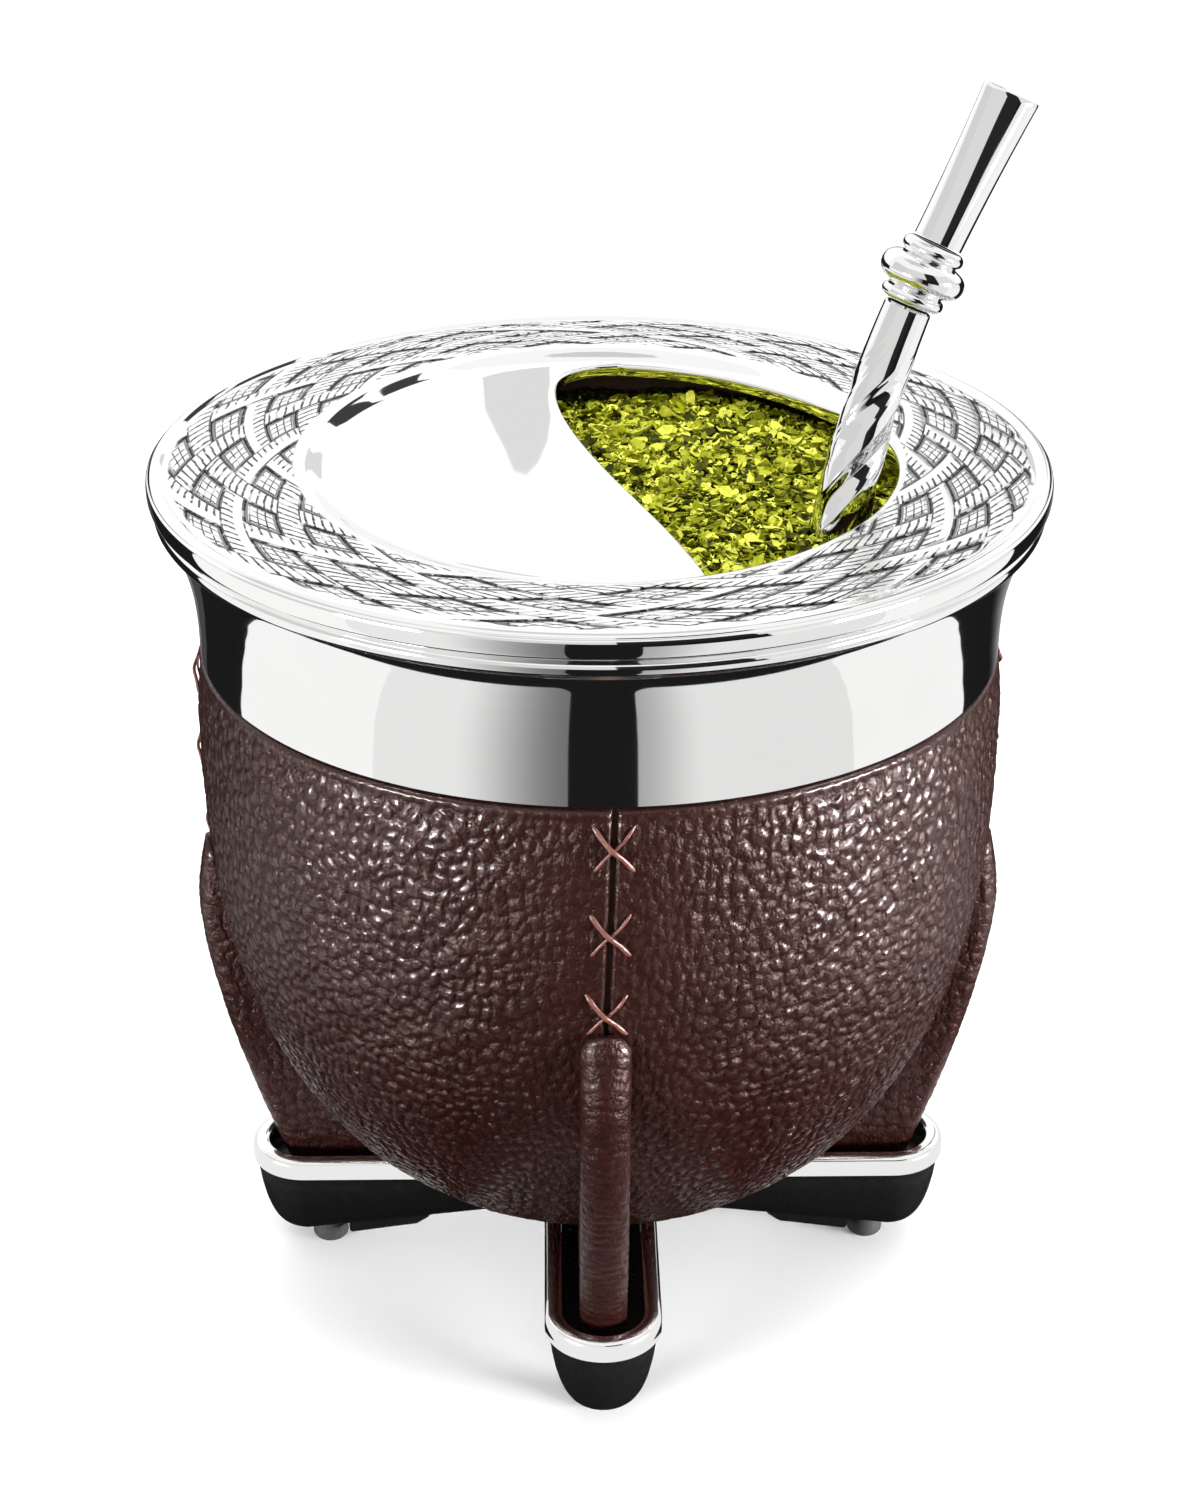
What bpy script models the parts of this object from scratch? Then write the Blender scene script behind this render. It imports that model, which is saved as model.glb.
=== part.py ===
"""A mate cup: a gourd covered in leather, standing on a cross-shaped foot, with a pressed
metal rim, dry yerba up to the rim and a metal straw.

Metres, +Z up. The origin is on the table, under the middle of the rim. One leg points
along -Y, towards the front, and the opening in the rim is on the +X side.
"""
import math
import random

import bmesh
import bpy
from mathutils import Matrix, Vector, noise
from mathutils.bvhtree import BVHTree

MM = 0.001
SEED = 11
FIT_GAP = 0.3 * MM
ARM_ANGLES = {"front": -90.0, "right": 0.0, "back": 90.0, "left": 180.0}

# The rim is one pressed disc: flat below, with a beaded edge and an oval recess on top.
RIM_RADIUS = 52.5 * MM
RIM_BOTTOM = 106.8 * MM
BEAD_TOP = RIM_BOTTOM + 2.9 * MM
FACE_OUTER_TOP = RIM_BOTTOM + 2.55 * MM
FACE_INNER_TOP = RIM_BOTTOM + 3.0 * MM
RECESS_HALF_X = 35.2 * MM
RECESS_HALF_Y = 39.3 * MM
RECESS_WALL_WIDTH = 3.9 * MM
PLATE_TOP = RIM_BOTTOM + 1.5 * MM
PLATE_DISH = 0.4 * MM
RIM_SEGMENTS = 52

# The opening: an S-shaped edge across the plate and an oval edge on the right.
OPENING_HALF_X = 34.6 * MM
OPENING_HALF_Y = 36.5 * MM
OPENING_SHIFT_Y = -1.0 * MM
OPENING_FLAT = 0.035
OPENING_FLAT_AT = math.radians(42.0)
OPENING_FLAT_WIDTH = math.radians(28.0)
S_EDGE = ((11.1, -35.5), (7.6, -15.0), (-5.9, 11.0), (-4.9, 27.5))
S_CORNER = ((-4.9, 27.5), (-4.7, 35.2), (3.2, 35.4))

# The collar is a spun band that carries the rim and grips the top of the leather.
COLLAR_TOP = RIM_BOTTOM - FIT_GAP
COLLAR_SEGMENTS = 44

# The bowl's outside is a superellipse of revolution with a flat bottom.
BOWL_RADIUS = 48.16 * MM
BOWL_WIDEST = 77.6 * MM
BOWL_POLE = 13.65 * MM
BOWL_POWER_R = 2.55
BOWL_POWER_Z = 2.53
BOWL_FLOOR = 16.05 * MM
LEATHER_TOP = 87.2 * MM
LEATHER_DRAW_IN = 0.6 * MM
LEATHER_THICKNESS = 1.5 * MM
SEAM_GAP = 0.5 * MM
SEAM_LEAN = math.radians(1.1)
GOURD_THICKNESS = 3.5 * MM
GOURD_INSET = LEATHER_THICKNESS + FIT_GAP
GOURD_TOP = RIM_BOTTOM - 0.5 * MM
LEATHER_HOLE = 6.0 * MM
BOWL_SEGMENTS = 32
BOWL_ROWS = 7
INSIDE_ROWS = 4
PANEL_PLACES = {"front": "front_right", "right": "back_right", "back": "back_left", "left": "front_left"}

# Each leg is a leather fin that stands in the foot and runs up the bowl.
LEG_HALF_WIDTH = 2.85 * MM
LEG_TOP = 59.9 * MM
LEG_CROWN = 50.5 * MM
LEG_CROWN_RADIUS = 49.9 * MM
LEG_FOOT_RADIUS = 40.2 * MM
LEG_CURVE = 1.5
LEG_TIP_DROP = 1.3 * MM

# The foot: a black cross with a metal trim round its top edge, on four rubber studs.
ARM_REACH = 44.9 * MM
ARM_HALF_WIDTH = 7.0 * MM
ARM_FILLET = 5.0 * MM
SHOE_TOP = 12.85 * MM
SHOE_TOE_BOTTOM = 3.3 * MM
SHOE_RISE = 0.12
SHOE_OVERHANG = 0.5 * MM
SHOE_TAPER = 0.9 * MM
SHOE_ROUND = 2.8 * MM
SHOE_KEEL = 0.6 * MM
SHOE_STEPS = 5
SOLE_INNER = 22.0 * MM
SOLE_OUTER = 32.6 * MM
SOLE_HALF_WIDTH = 3.4 * MM
SOLE_BOTTOM = 2.3 * MM
TRIM_TOP = 15.75 * MM
TRIM_WIDTH = 2.3 * MM
STUD_RADIUS = 2.3 * MM
STUD_PLACE = 35.3 * MM

# Three crossed lacing stitches close each seam above its leg.
STITCH_HEIGHTS = (62.1 * MM, 72.4 * MM, 82.8 * MM)
STITCH_HALF_WIDTH = 2.6 * MM
STITCH_HALF_HEIGHT = 2.9 * MM
LACE_RADIUS = 0.28 * MM

# The yerba fills the gourd; its top is a low mound of flakes.
YERBA_RIM_TOP = RIM_BOTTOM - 3.3 * MM
YERBA_MOUND = 1.4 * MM
YERBA_MOUND_AT = (9.0 * MM, 9.0 * MM)
YERBA_MOUND_SPREAD = 27.0 * MM
YERBA_BUMP = 0.55 * MM
YERBA_RINGS = 15
YERBA_SHOULDER = 1.0 * MM
FLAKE_COUNT = 34
FLAKE_SIZE = (1.3 * MM, 2.3 * MM)

# The straw leans to the right and a little back. Places along it count from the yerba's top.
# Its tube and collar are bent evenly; the neck is where the straight mouthpiece begins.
STRAW_NECK = Vector((37.22, -6.13, 136.36)) * MM
STRAW_DIRECTION = Vector((0.425, 0.1544, 0.8919)).normalized()
STRAW_BEND_FROM = -14.0 * MM
STRAW_BEND_TO = 37.9 * MM
STRAW_BEND_RADIUS = 126.8 * MM
STRAW_LOW_END = -58.0 * MM
TUBE_END = 30.4 * MM
TUBE_LOW_RADIUS = 3.3 * MM
TUBE_HIGH_RADIUS = 2.75 * MM
TUBE_TAPER_FROM = 10.0 * MM
BURIED_PLACES = (-14.0 * MM, -8.0 * MM)
TWIST_FROM = -2.0 * MM
TWIST_TO = 24.0 * MM
TWIST_DEPTH = 0.12 * MM
TWIST_PITCH = 26.0 * MM
TWIST_LOBES = 4
STRAW_COLLAR_END = 37.8 * MM
MOUTH_START = 38.1 * MM
MOUTH_END = 56.1 * MM
MOUTH_BASE_RADIUS = 2.85 * MM
MOUTH_HALF_WIDTH = 3.35 * MM
MOUTH_HALF_DEPTH = 2.0 * MM
MOUTH_WALL = 0.6 * MM
MOUTH_SLOT_DEPTH = 9.0 * MM


def make_material(name, colour, metallic, roughness):
    """One Principled material."""
    material = bpy.data.materials.new(name)
    material.use_nodes = True
    shader = material.node_tree.nodes["Principled BSDF"]
    shader.inputs["Base Color"].default_value = (*colour, 1.0)
    shader.inputs["Metallic"].default_value = metallic
    shader.inputs["Roughness"].default_value = roughness
    return material


def add_object(name, bm, material, sharp_degrees=40.0):
    """Turn a finished bmesh into a named object, shaded smooth except at sharp edges."""
    bmesh.ops.recalc_face_normals(bm, faces=bm.faces)
    mesh = bpy.data.meshes.new(name)
    bm.to_mesh(mesh)
    bm.free()
    mesh.shade_smooth()
    mesh.set_sharp_from_angle(angle=math.radians(sharp_degrees))
    mesh.materials.append(material)
    obj = bpy.data.objects.new(name, mesh)
    bpy.context.scene.collection.objects.link(obj)
    return obj


def as_tool(obj):
    """A cutter is only drawn as a wire and is never part of the model."""
    obj.hide_render = True
    obj.display_type = "WIRE"
    return obj


def boolean(target, tool, operation):
    """Cut or join the target with a tool object by an exact Boolean modifier."""
    modifier = target.modifiers.new(operation.title(), "BOOLEAN")
    modifier.operation = operation
    modifier.solver = "EXACT"
    modifier.object = as_tool(tool)


def loft(rings, closed_path=False, open_end=False):
    """Join closed rings of equal length with quads; fill both ends unless the path closes."""
    bm = bmesh.new()
    loops = [[bm.verts.new(point) for point in ring] for ring in rings]
    pairs = list(zip(loops, loops[1:]))
    if closed_path:
        pairs.append((loops[-1], loops[0]))
    for low, high in pairs:
        for i in range(len(low)):
            j = (i + 1) % len(low)
            bm.faces.new((low[i], low[j], high[j], high[i]))
    if not closed_path:
        fill_faces(bm, loops[:1] if open_end else [loops[0], loops[-1]])
    return bm


def fill_faces(bm, loops):
    """Fill closed loops of vertices with triangles."""
    caps = [bm.faces.new(loop) for loop in loops]
    for cap in caps:
        cap.normal_update()
    bmesh.ops.triangulate(bm, faces=caps, ngon_method="EAR_CLIP")


def spin_profile(profile, segments):
    """Turn a closed (radius, height) profile once about the Z axis."""
    bm = bmesh.new()
    verts = [bm.verts.new((radius, 0.0, height)) for radius, height in profile]
    edges = [bm.edges.new((a, b)) for a, b in zip(verts, verts[1:] + verts[:1])]
    bmesh.ops.spin(bm, geom=verts + edges, cent=(0, 0, 0), axis=(0, 0, 1),
                   angle=math.tau, steps=segments, use_merge=True)
    bmesh.ops.remove_doubles(bm, verts=bm.verts, dist=0.01 * MM)
    return bm


def bezier(points, steps):
    """Points along a Bezier curve of any degree, given by its control points in mm."""
    degree = len(points) - 1
    curve = []
    for step in range(steps + 1):
        t = step / steps
        weights = [math.comb(degree, k) * t ** k * (1 - t) ** (degree - k) for k in range(degree + 1)]
        x = sum(w * p[0] for w, p in zip(weights, points))
        y = sum(w * p[1] for w, p in zip(weights, points))
        curve.append((x * MM, y * MM))
    return curve


def oval_ring(half_x, half_y, height, segments):
    """A level oval ring about the Z axis."""
    ring = []
    for i in range(segments):
        angle = math.tau * i / segments
        ring.append((half_x * math.cos(angle), half_y * math.sin(angle), height))
    return ring


def bowl_radius(height, inset=0.0):
    """Outer radius of the bowl at a height, or of the same form drawn in by an inset."""
    if height >= BOWL_WIDEST:
        rise = (height - BOWL_WIDEST) / (LEATHER_TOP - BOWL_WIDEST)
        return BOWL_RADIUS - inset - LEATHER_DRAW_IN * min(rise, 1.0) ** 2
    drop = (BOWL_WIDEST - height) / (BOWL_WIDEST - BOWL_POLE - inset)
    share = max(0.0, 1.0 - drop ** BOWL_POWER_Z) ** (1.0 / BOWL_POWER_R)
    return (BOWL_RADIUS - inset) * share


def bowl_rows(inset, count):
    """(radius, height) rows up a wall drawn in by an inset, from its flat floor to the leather's top.

    Layers that touch take the same heights, closer together near the round bottom, so that
    their facets lie side by side.
    """
    floor = BOWL_FLOOR + inset
    heights = [floor]
    for step in range(1, count + 1):
        share = (1.0 - math.cos(step / count * math.pi / 2)) ** 0.8
        height = BOWL_FLOOR + (BOWL_WIDEST - BOWL_FLOOR) * share
        if height > floor + 0.5 * MM:
            heights.append(height)
    heights += [0.5 * (BOWL_WIDEST + LEATHER_TOP), LEATHER_TOP]
    return [(bowl_radius(height, inset), height) for height in heights]


def opening_outline():
    """The opening's outline seen from above: the S edge, its round corner, the oval edge."""
    outline = bezier(S_EDGE, 14)[1:] + bezier(S_CORNER, 6)[1:]
    start = math.radians(84.0)
    end = math.radians(-70.0)
    steps = 30
    for step in range(1, steps + 1):
        angle = start + (end - start) * step / steps
        flat = OPENING_FLAT * math.exp(-((angle - OPENING_FLAT_AT) / OPENING_FLAT_WIDTH) ** 2)
        x = OPENING_HALF_X * (1 - flat) * math.cos(angle)
        y = OPENING_HALF_Y * (1 - flat) * math.sin(angle) + OPENING_SHIFT_Y
        outline.append((x, y))
    outline.append((S_EDGE[0][0] * MM, S_EDGE[0][1] * MM))
    return outline


def build_rim(metal):
    """The pressed rim disc with its beaded edge, recess, dished plate and opening."""
    rings = [oval_ring(r, r, RIM_BOTTOM, RIM_SEGMENTS) for r in (20 * MM, RIM_RADIUS - 0.4 * MM)]
    edge_profile = ((-0.3, 1.1), (0.0, 1.7), (-0.1, 2.4), (-0.5, 2.8))
    for inset, rise in edge_profile:
        radius = RIM_RADIUS + inset * MM
        rings.append(oval_ring(radius, radius, RIM_BOTTOM + rise * MM, RIM_SEGMENTS))
    rings.append(oval_ring(RIM_RADIUS - 1.1 * MM, RIM_RADIUS - 1.1 * MM, BEAD_TOP, RIM_SEGMENTS))
    rings.append(oval_ring(RIM_RADIUS - 2.3 * MM, RIM_RADIUS - 2.3 * MM, FACE_OUTER_TOP, RIM_SEGMENTS))
    wall_profile = ((0.5, 1.0), (0.0, 0.94), (-0.28, 0.7), (-0.65, 0.2), (-1.0, 0.0))
    for across, up in wall_profile:
        grow = across * RECESS_WALL_WIDTH
        height = PLATE_TOP + up * (FACE_INNER_TOP - PLATE_TOP)
        rings.append(oval_ring(RECESS_HALF_X + grow, RECESS_HALF_Y + grow, height, RIM_SEGMENTS))
    for share, drop in ((0.6, 0.6), (0.3, 0.9)):
        height = PLATE_TOP - drop * PLATE_DISH
        rings.append(oval_ring(share * RECESS_HALF_X, share * RECESS_HALF_Y, height, RIM_SEGMENTS))
    rim = add_object("rim_flange", loft(rings), metal, 30.0)
    low = RIM_BOTTOM - 5 * MM
    high = RIM_BOTTOM + 8 * MM
    outline = opening_outline()
    cutter = loft([[(x, y, z) for x, y in outline] for z in (low, high)])
    boolean(rim, add_object("opening_cutter", cutter, metal), "DIFFERENCE")


def build_collar(metal):
    """The spun collar: a lip bead, a hollow flare and a straight polished band."""
    lip_top = COLLAR_TOP / MM
    outer = ((47.4, 87.55), (47.5, 91.5), (47.9, 95.5), (48.6, 98.8), (49.5, 101.6),
             (50.5, 104.1), (51.6, 104.7), (51.9, 105.5), (51.5, lip_top))
    inner = ((49.2, lip_top), (48.0, 101.5), (46.1, 94.0), (46.1, 87.55))
    profile = [(r * MM, z * MM) for r, z in outer + inner]
    add_object("collar_band", spin_profile(profile, COLLAR_SEGMENTS), metal)


def build_gourd(shell):
    """The hollow gourd: an open cup of even wall behind the leather and the collar."""
    outer = bowl_rows(GOURD_INSET, BOWL_ROWS)
    inner = bowl_rows(GOURD_INSET + GOURD_THICKNESS, INSIDE_ROWS)
    outer.append((outer[-1][0], GOURD_TOP))
    inner.append((inner[-1][0], GOURD_TOP))
    rings = [oval_ring(r, r, z, BOWL_SEGMENTS) for r, z in outer + inner[::-1]]
    add_object("gourd_shell", loft(rings), shell)


def seam_angle(height, side_angle):
    """Direction of a seam at a height: it leans a little to one side as it rises."""
    rise = max(0.0, height - LEG_TOP) / (LEATHER_TOP - LEG_TOP)
    return side_angle + SEAM_LEAN * rise


def panel_row(radius, height, side_angle):
    """Points across one panel at a height, from seam to seam."""
    half_seam = 0.5 * SEAM_GAP / radius
    first = seam_angle(height, side_angle) + half_seam
    last = seam_angle(height, side_angle + math.pi / 2) - half_seam
    across = BOWL_SEGMENTS // 4
    angles = [first + (last - first) * i / across for i in range(across + 1)]
    return [(radius * math.cos(a), radius * math.sin(a), height) for a in angles]


def build_leather_panels(leather):
    """Four leather panels, with a narrow open seam between each pair."""
    outer = bowl_rows(0.0, BOWL_ROWS)
    inner = bowl_rows(LEATHER_THICKNESS, BOWL_ROWS)
    while len(outer) > len(inner):
        outer.pop(1)
    outer.insert(0, (LEATHER_HOLE, outer[0][1]))
    inner.insert(0, (LEATHER_HOLE, inner[0][1]))
    for side, angle in ARM_ANGLES.items():
        rows = [panel_row(r, z, math.radians(angle)) for r, z in outer + inner[::-1]]
        add_object("leather_panel_" + PANEL_PLACES[side], strip_solid(rows), leather)


def strip_solid(rows):
    """A closed solid from rows of points that go up the outside and back down the inside."""
    bm = bmesh.new()
    grid = [[bm.verts.new(point) for point in row] for row in rows]
    count = len(grid)
    for k in range(count):
        low = grid[k]
        high = grid[(k + 1) % count]
        for i in range(len(low) - 1):
            bm.faces.new((low[i], low[i + 1], high[i + 1], high[i]))
    half = count // 2
    for side in (0, -1):
        for k in range(half - 1):
            bm.faces.new((grid[k][side], grid[k + 1][side],
                          grid[count - 2 - k][side], grid[count - 1 - k][side]))
    return bm


def leg_outer_radius(height):
    """How far out a leg's edge stands at a height."""
    if height > LEG_CROWN:
        rise = (height - LEG_CROWN) / (LEG_TOP - LEG_CROWN)
        return LEG_CROWN_RADIUS - LEG_TIP_DROP * rise ** 2
    drop = (LEG_CROWN - height) / (LEG_CROWN - SHOE_TOP)
    return LEG_CROWN_RADIUS - (LEG_CROWN_RADIUS - LEG_FOOT_RADIUS) * drop ** LEG_CURVE


def build_legs(leather):
    """Four leather fins with a round outer edge, fitted to the bowl and the foot."""
    bottom = SHOE_TOP + FIT_GAP
    shoulder = LEG_TOP - LEG_HALF_WIDTH
    rows = [z for _, z in bowl_rows(0.0, BOWL_ROWS) if z < shoulder]
    middles = [0.5 * (low + high) for low, high in zip(rows, rows[1:])]
    heights = sorted([bottom, shoulder] + rows + middles)
    heights += [shoulder + LEG_HALF_WIDTH * math.sin(math.radians(a)) for a in (30, 55, 78)]
    edge_steps = 6
    for side, angle in ARM_ANGLES.items():
        rings = []
        for z in heights:
            half = LEG_HALF_WIDTH
            if z > shoulder:
                half = LEG_HALF_WIDTH * math.sqrt(1.0 - ((z - shoulder) / LEG_HALF_WIDTH) ** 2)
            inner = bowl_radius(max(z, BOWL_FLOOR)) + FIT_GAP
            outer = max(leg_outer_radius(z), inner + 0.35 * MM)
            centre = max(outer - 0.8 * half, inner + 0.1 * MM)
            ring = [(inner, half, z)]
            for step in range(edge_steps + 1):
                turn = math.pi / 2 - math.pi * step / edge_steps
                ring.append((centre + (outer - centre) * math.cos(turn), half * math.sin(turn), z))
            ring.append((inner, -half, z))
            rings.append(ring)
        leg = add_object("leg_" + side, loft(rings), leather)
        leg.rotation_euler = (0.0, 0.0, math.radians(angle))


def cross_outline(inset, end_steps=8, fillet_steps=3):
    """The foot's outline from above: four arms with round ends and hollow corners between."""
    half = ARM_HALF_WIDTH - inset
    reach = ARM_REACH - ARM_HALF_WIDTH
    corner = ARM_HALF_WIDTH + ARM_FILLET
    fillet = ARM_FILLET + inset
    outline = []
    for quarter in range(4):
        turn = Matrix.Rotation(math.pi / 2 * quarter, 2)
        for step in range(end_steps + 1):
            angle = -math.pi / 2 + math.pi * step / end_steps
            outline.append(turn @ Vector((reach + half * math.cos(angle), half * math.sin(angle))))
        for step in range(fillet_steps + 1):
            angle = -math.pi / 2 - math.pi / 2 * step / fillet_steps
            outline.append(turn @ Vector((corner + fillet * math.cos(angle),
                                          corner + fillet * math.sin(angle))))
    return outline


def build_base(plastic):
    """The black cross: a boat-shaped underside that drops towards each toe, with sole bars."""
    levels = []
    for step in range(SHOE_STEPS + 1):
        share = math.sin(math.pi / 2 * step / SHOE_STEPS)
        round_in = 1.0 - (1.0 - share ** 2.4) ** (1 / 2.4)
        levels.append((share, SHOE_OVERHANG + SHOE_TAPER * share + SHOE_ROUND * round_in))
    levels.append((1.0, ARM_HALF_WIDTH - SHOE_KEEL))
    rings = []
    for share, inset in levels:
        ring = []
        for point in cross_outline(inset):
            toe_place = ARM_REACH - ARM_HALF_WIDTH
            depth = SHOE_TOP - SHOE_TOE_BOTTOM
            depth -= SHOE_RISE * max(0.0, toe_place - point.length)
            ring.append((point.x, point.y, SHOE_TOP - depth * share))
        rings.append(ring)
    bm = loft(rings, open_end=True)
    keel = list(bm.verts)[-len(rings[-1]):]
    quarter = len(keel) // 4
    middle = bm.verts.new((0.0, 0.0, min(vert.co.z for vert in keel) + SHOE_RISE * ARM_REACH))
    arms = [[keel[(quarter * k + i - 2) % len(keel)] for i in range(quarter + 1)] + [middle]
            for k in range(4)]
    fill_faces(bm, arms)
    base = add_object("foot_cross", bm, plastic, 35.0)
    for side, angle in ARM_ANGLES.items():
        ramp = 1.8 * MM
        top = 8.0 * MM
        inner_bottom = SOLE_BOTTOM + SHOE_RISE * (SOLE_OUTER - SOLE_INNER)
        section = ((SOLE_INNER, top), (SOLE_INNER, inner_bottom + 1.4 * MM),
                   (SOLE_INNER + ramp, inner_bottom), (SOLE_OUTER, SOLE_BOTTOM), (SOLE_OUTER, top))
        rings = [[(x, y, z) for x, z in section] for y in (-SOLE_HALF_WIDTH, SOLE_HALF_WIDTH)]
        bar = add_object("sole_bar_" + side, loft(rings), plastic)
        bar.rotation_euler = (0.0, 0.0, math.radians(angle))
        boolean(base, bar, "UNION")


def build_trim(metal):
    """The polished trim that frames the top of the foot."""
    bottom = SHOE_TOP + FIT_GAP
    section = ((0.0, bottom), (0.0, TRIM_TOP - 1.0 * MM), (0.3 * MM, TRIM_TOP - 0.3 * MM),
               (0.9 * MM, TRIM_TOP), (1.8 * MM, TRIM_TOP - 0.1 * MM), (TRIM_WIDTH, TRIM_TOP - 0.5 * MM),
               (TRIM_WIDTH, bottom))
    rings = [[(p.x, p.y, z) for p in cross_outline(inset)] for inset, z in section]
    add_object("foot_trim", loft(rings, closed_path=True), metal, 35.0)


def build_studs(rubber):
    """Four rubber studs, one under each toe."""
    top = SHOE_TOE_BOTTOM - FIT_GAP
    profile = ((0.75, 0.0), (0.95, 0.25), (1.0, 0.6), (1.0, 1.0))
    for side, angle in ARM_ANGLES.items():
        rings = [oval_ring(share * STUD_RADIUS, share * STUD_RADIUS, rise * top, 10)
                 for share, rise in profile]
        stud = add_object("foot_stud_" + side, loft(rings), rubber)
        turn = math.radians(angle)
        stud.location = (STUD_PLACE * math.cos(turn), STUD_PLACE * math.sin(turn), 0.0)


def lace_rings(height, seam, lean, lift):
    """Rings of one strand that crosses a seam, lying just over the leather."""
    rings = []
    for step in range(4):
        t = step / 1.5 - 1.0
        z = height + t * STITCH_HALF_HEIGHT
        stand = bowl_radius(z) + FIT_GAP + LACE_RADIUS + lift * (1 - t * t)
        angle = seam + lean * t * STITCH_HALF_WIDTH / stand
        centre = Vector((stand * math.cos(angle), stand * math.sin(angle), z))
        out = Vector((math.cos(angle), math.sin(angle), 0.0))
        side = Vector((-math.sin(angle), math.cos(angle), 0.0))
        along = (side * lean * STITCH_HALF_WIDTH + Vector((0, 0, STITCH_HALF_HEIGHT))).normalized()
        across = along.cross(out)
        rings.append([centre + LACE_RADIUS * (out * math.cos(a) + across * math.sin(a))
                      for a in (math.tau * k / 4 for k in range(4))])
    return rings


def build_stitches(thread):
    """Crossed lacing stitches, three on each seam; each cross is one piece."""
    for side, angle in ARM_ANGLES.items():
        for number, height in enumerate(STITCH_HEIGHTS, start=1):
            seam = seam_angle(height, math.radians(angle))
            bm = loft(lace_rings(height, seam, 1.0, 0.0))
            stitch = add_object(f"stitch_{side}_{number}", bm, thread)
            bm = loft(lace_rings(height, seam, -1.0, 1.2 * LACE_RADIUS))
            over = add_object(f"strand_{side}_{number}", bm, thread)
            boolean(stitch, over, "UNION")


def yerba_height(x, y):
    """Height of the yerba's top: a low mound, sunk towards the wall, with small bumps."""
    dx = x - YERBA_MOUND_AT[0]
    dy = y - YERBA_MOUND_AT[1]
    mound = YERBA_MOUND * math.exp(-(dx * dx + dy * dy) / YERBA_MOUND_SPREAD ** 2)
    bump = noise.noise(Vector((x, y, 0.3 * MM)) * 620.0) + 0.6 * noise.noise(Vector((y, x, 2 * MM)) * 1150.0)
    return YERBA_RIM_TOP + mound + YERBA_BUMP * bump


def yerba_core():
    """The filling: the gourd's inner form below, a bumpy mound of concentric rings on top."""
    bm = bmesh.new()
    rings = []
    wall = bowl_rows(GOURD_INSET + GOURD_THICKNESS + FIT_GAP, INSIDE_ROWS)
    edge = wall[-1][0]
    for radius, z in wall + [(edge, YERBA_RIM_TOP - YERBA_SHOULDER)]:
        rings.append([bm.verts.new(p) for p in oval_ring(radius, radius, z, BOWL_SEGMENTS)])
    for ring in range(YERBA_RINGS, 0, -1):
        radius = edge * ring / YERBA_RINGS
        count = 6 * ring if ring < YERBA_RINGS else BOWL_SEGMENTS
        verts = []
        for i in range(count):
            angle = math.tau * i / count
            x = radius * math.cos(angle)
            y = radius * math.sin(angle)
            verts.append(bm.verts.new((x, y, yerba_height(x, y))))
        rings.append(verts)
    bm.faces.new(rings[0])
    for low, high in zip(rings, rings[1:]):
        if len(low) == len(high):
            for i in range(len(low)):
                j = (i + 1) % len(low)
                bm.faces.new((low[i], low[j], high[j], high[i]))
        else:
            bridge_uneven(bm, low, high)
    peak = bm.verts.new((0.0, 0.0, yerba_height(0.0, 0.0)))
    last = rings[-1]
    for i in range(len(last)):
        bm.faces.new((last[i], last[(i + 1) % len(last)], peak))
    return bm


def bridge_uneven(bm, outer, inner):
    """Triangles between two rings with different numbers of evenly spread points."""
    i = 0
    j = 0
    while i < len(outer) or j < len(inner):
        next_outer = (i + 1) / len(outer)
        next_inner = (j + 1) / len(inner)
        a = outer[i % len(outer)]
        b = inner[j % len(inner)]
        if i < len(outer) and (next_outer <= next_inner or j >= len(inner)):
            bm.faces.new((a, outer[(i + 1) % len(outer)], b))
            i += 1
        else:
            bm.faces.new((a, inner[(j + 1) % len(inner)], b))
            j += 1


def flake_mesh(rng, centre):
    """One bent leaf flake: a six-sided plate with thin edges."""
    bm = bmesh.new()
    bmesh.ops.create_cone(bm, cap_ends=True, segments=6, radius1=0.5, radius2=0.42, depth=1.0)
    length = rng.uniform(*FLAKE_SIZE)
    size = Matrix.Diagonal((length, length * rng.uniform(0.5, 0.8), 0.35 * MM, 1.0))
    tilt = Matrix.Rotation(math.radians(rng.uniform(8, 34)), 4, "X")
    turn = Matrix.Rotation(rng.uniform(0, math.tau), 4, "Z")
    bm.transform(Matrix.Translation(centre) @ turn @ tilt @ size)
    return bm


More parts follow.
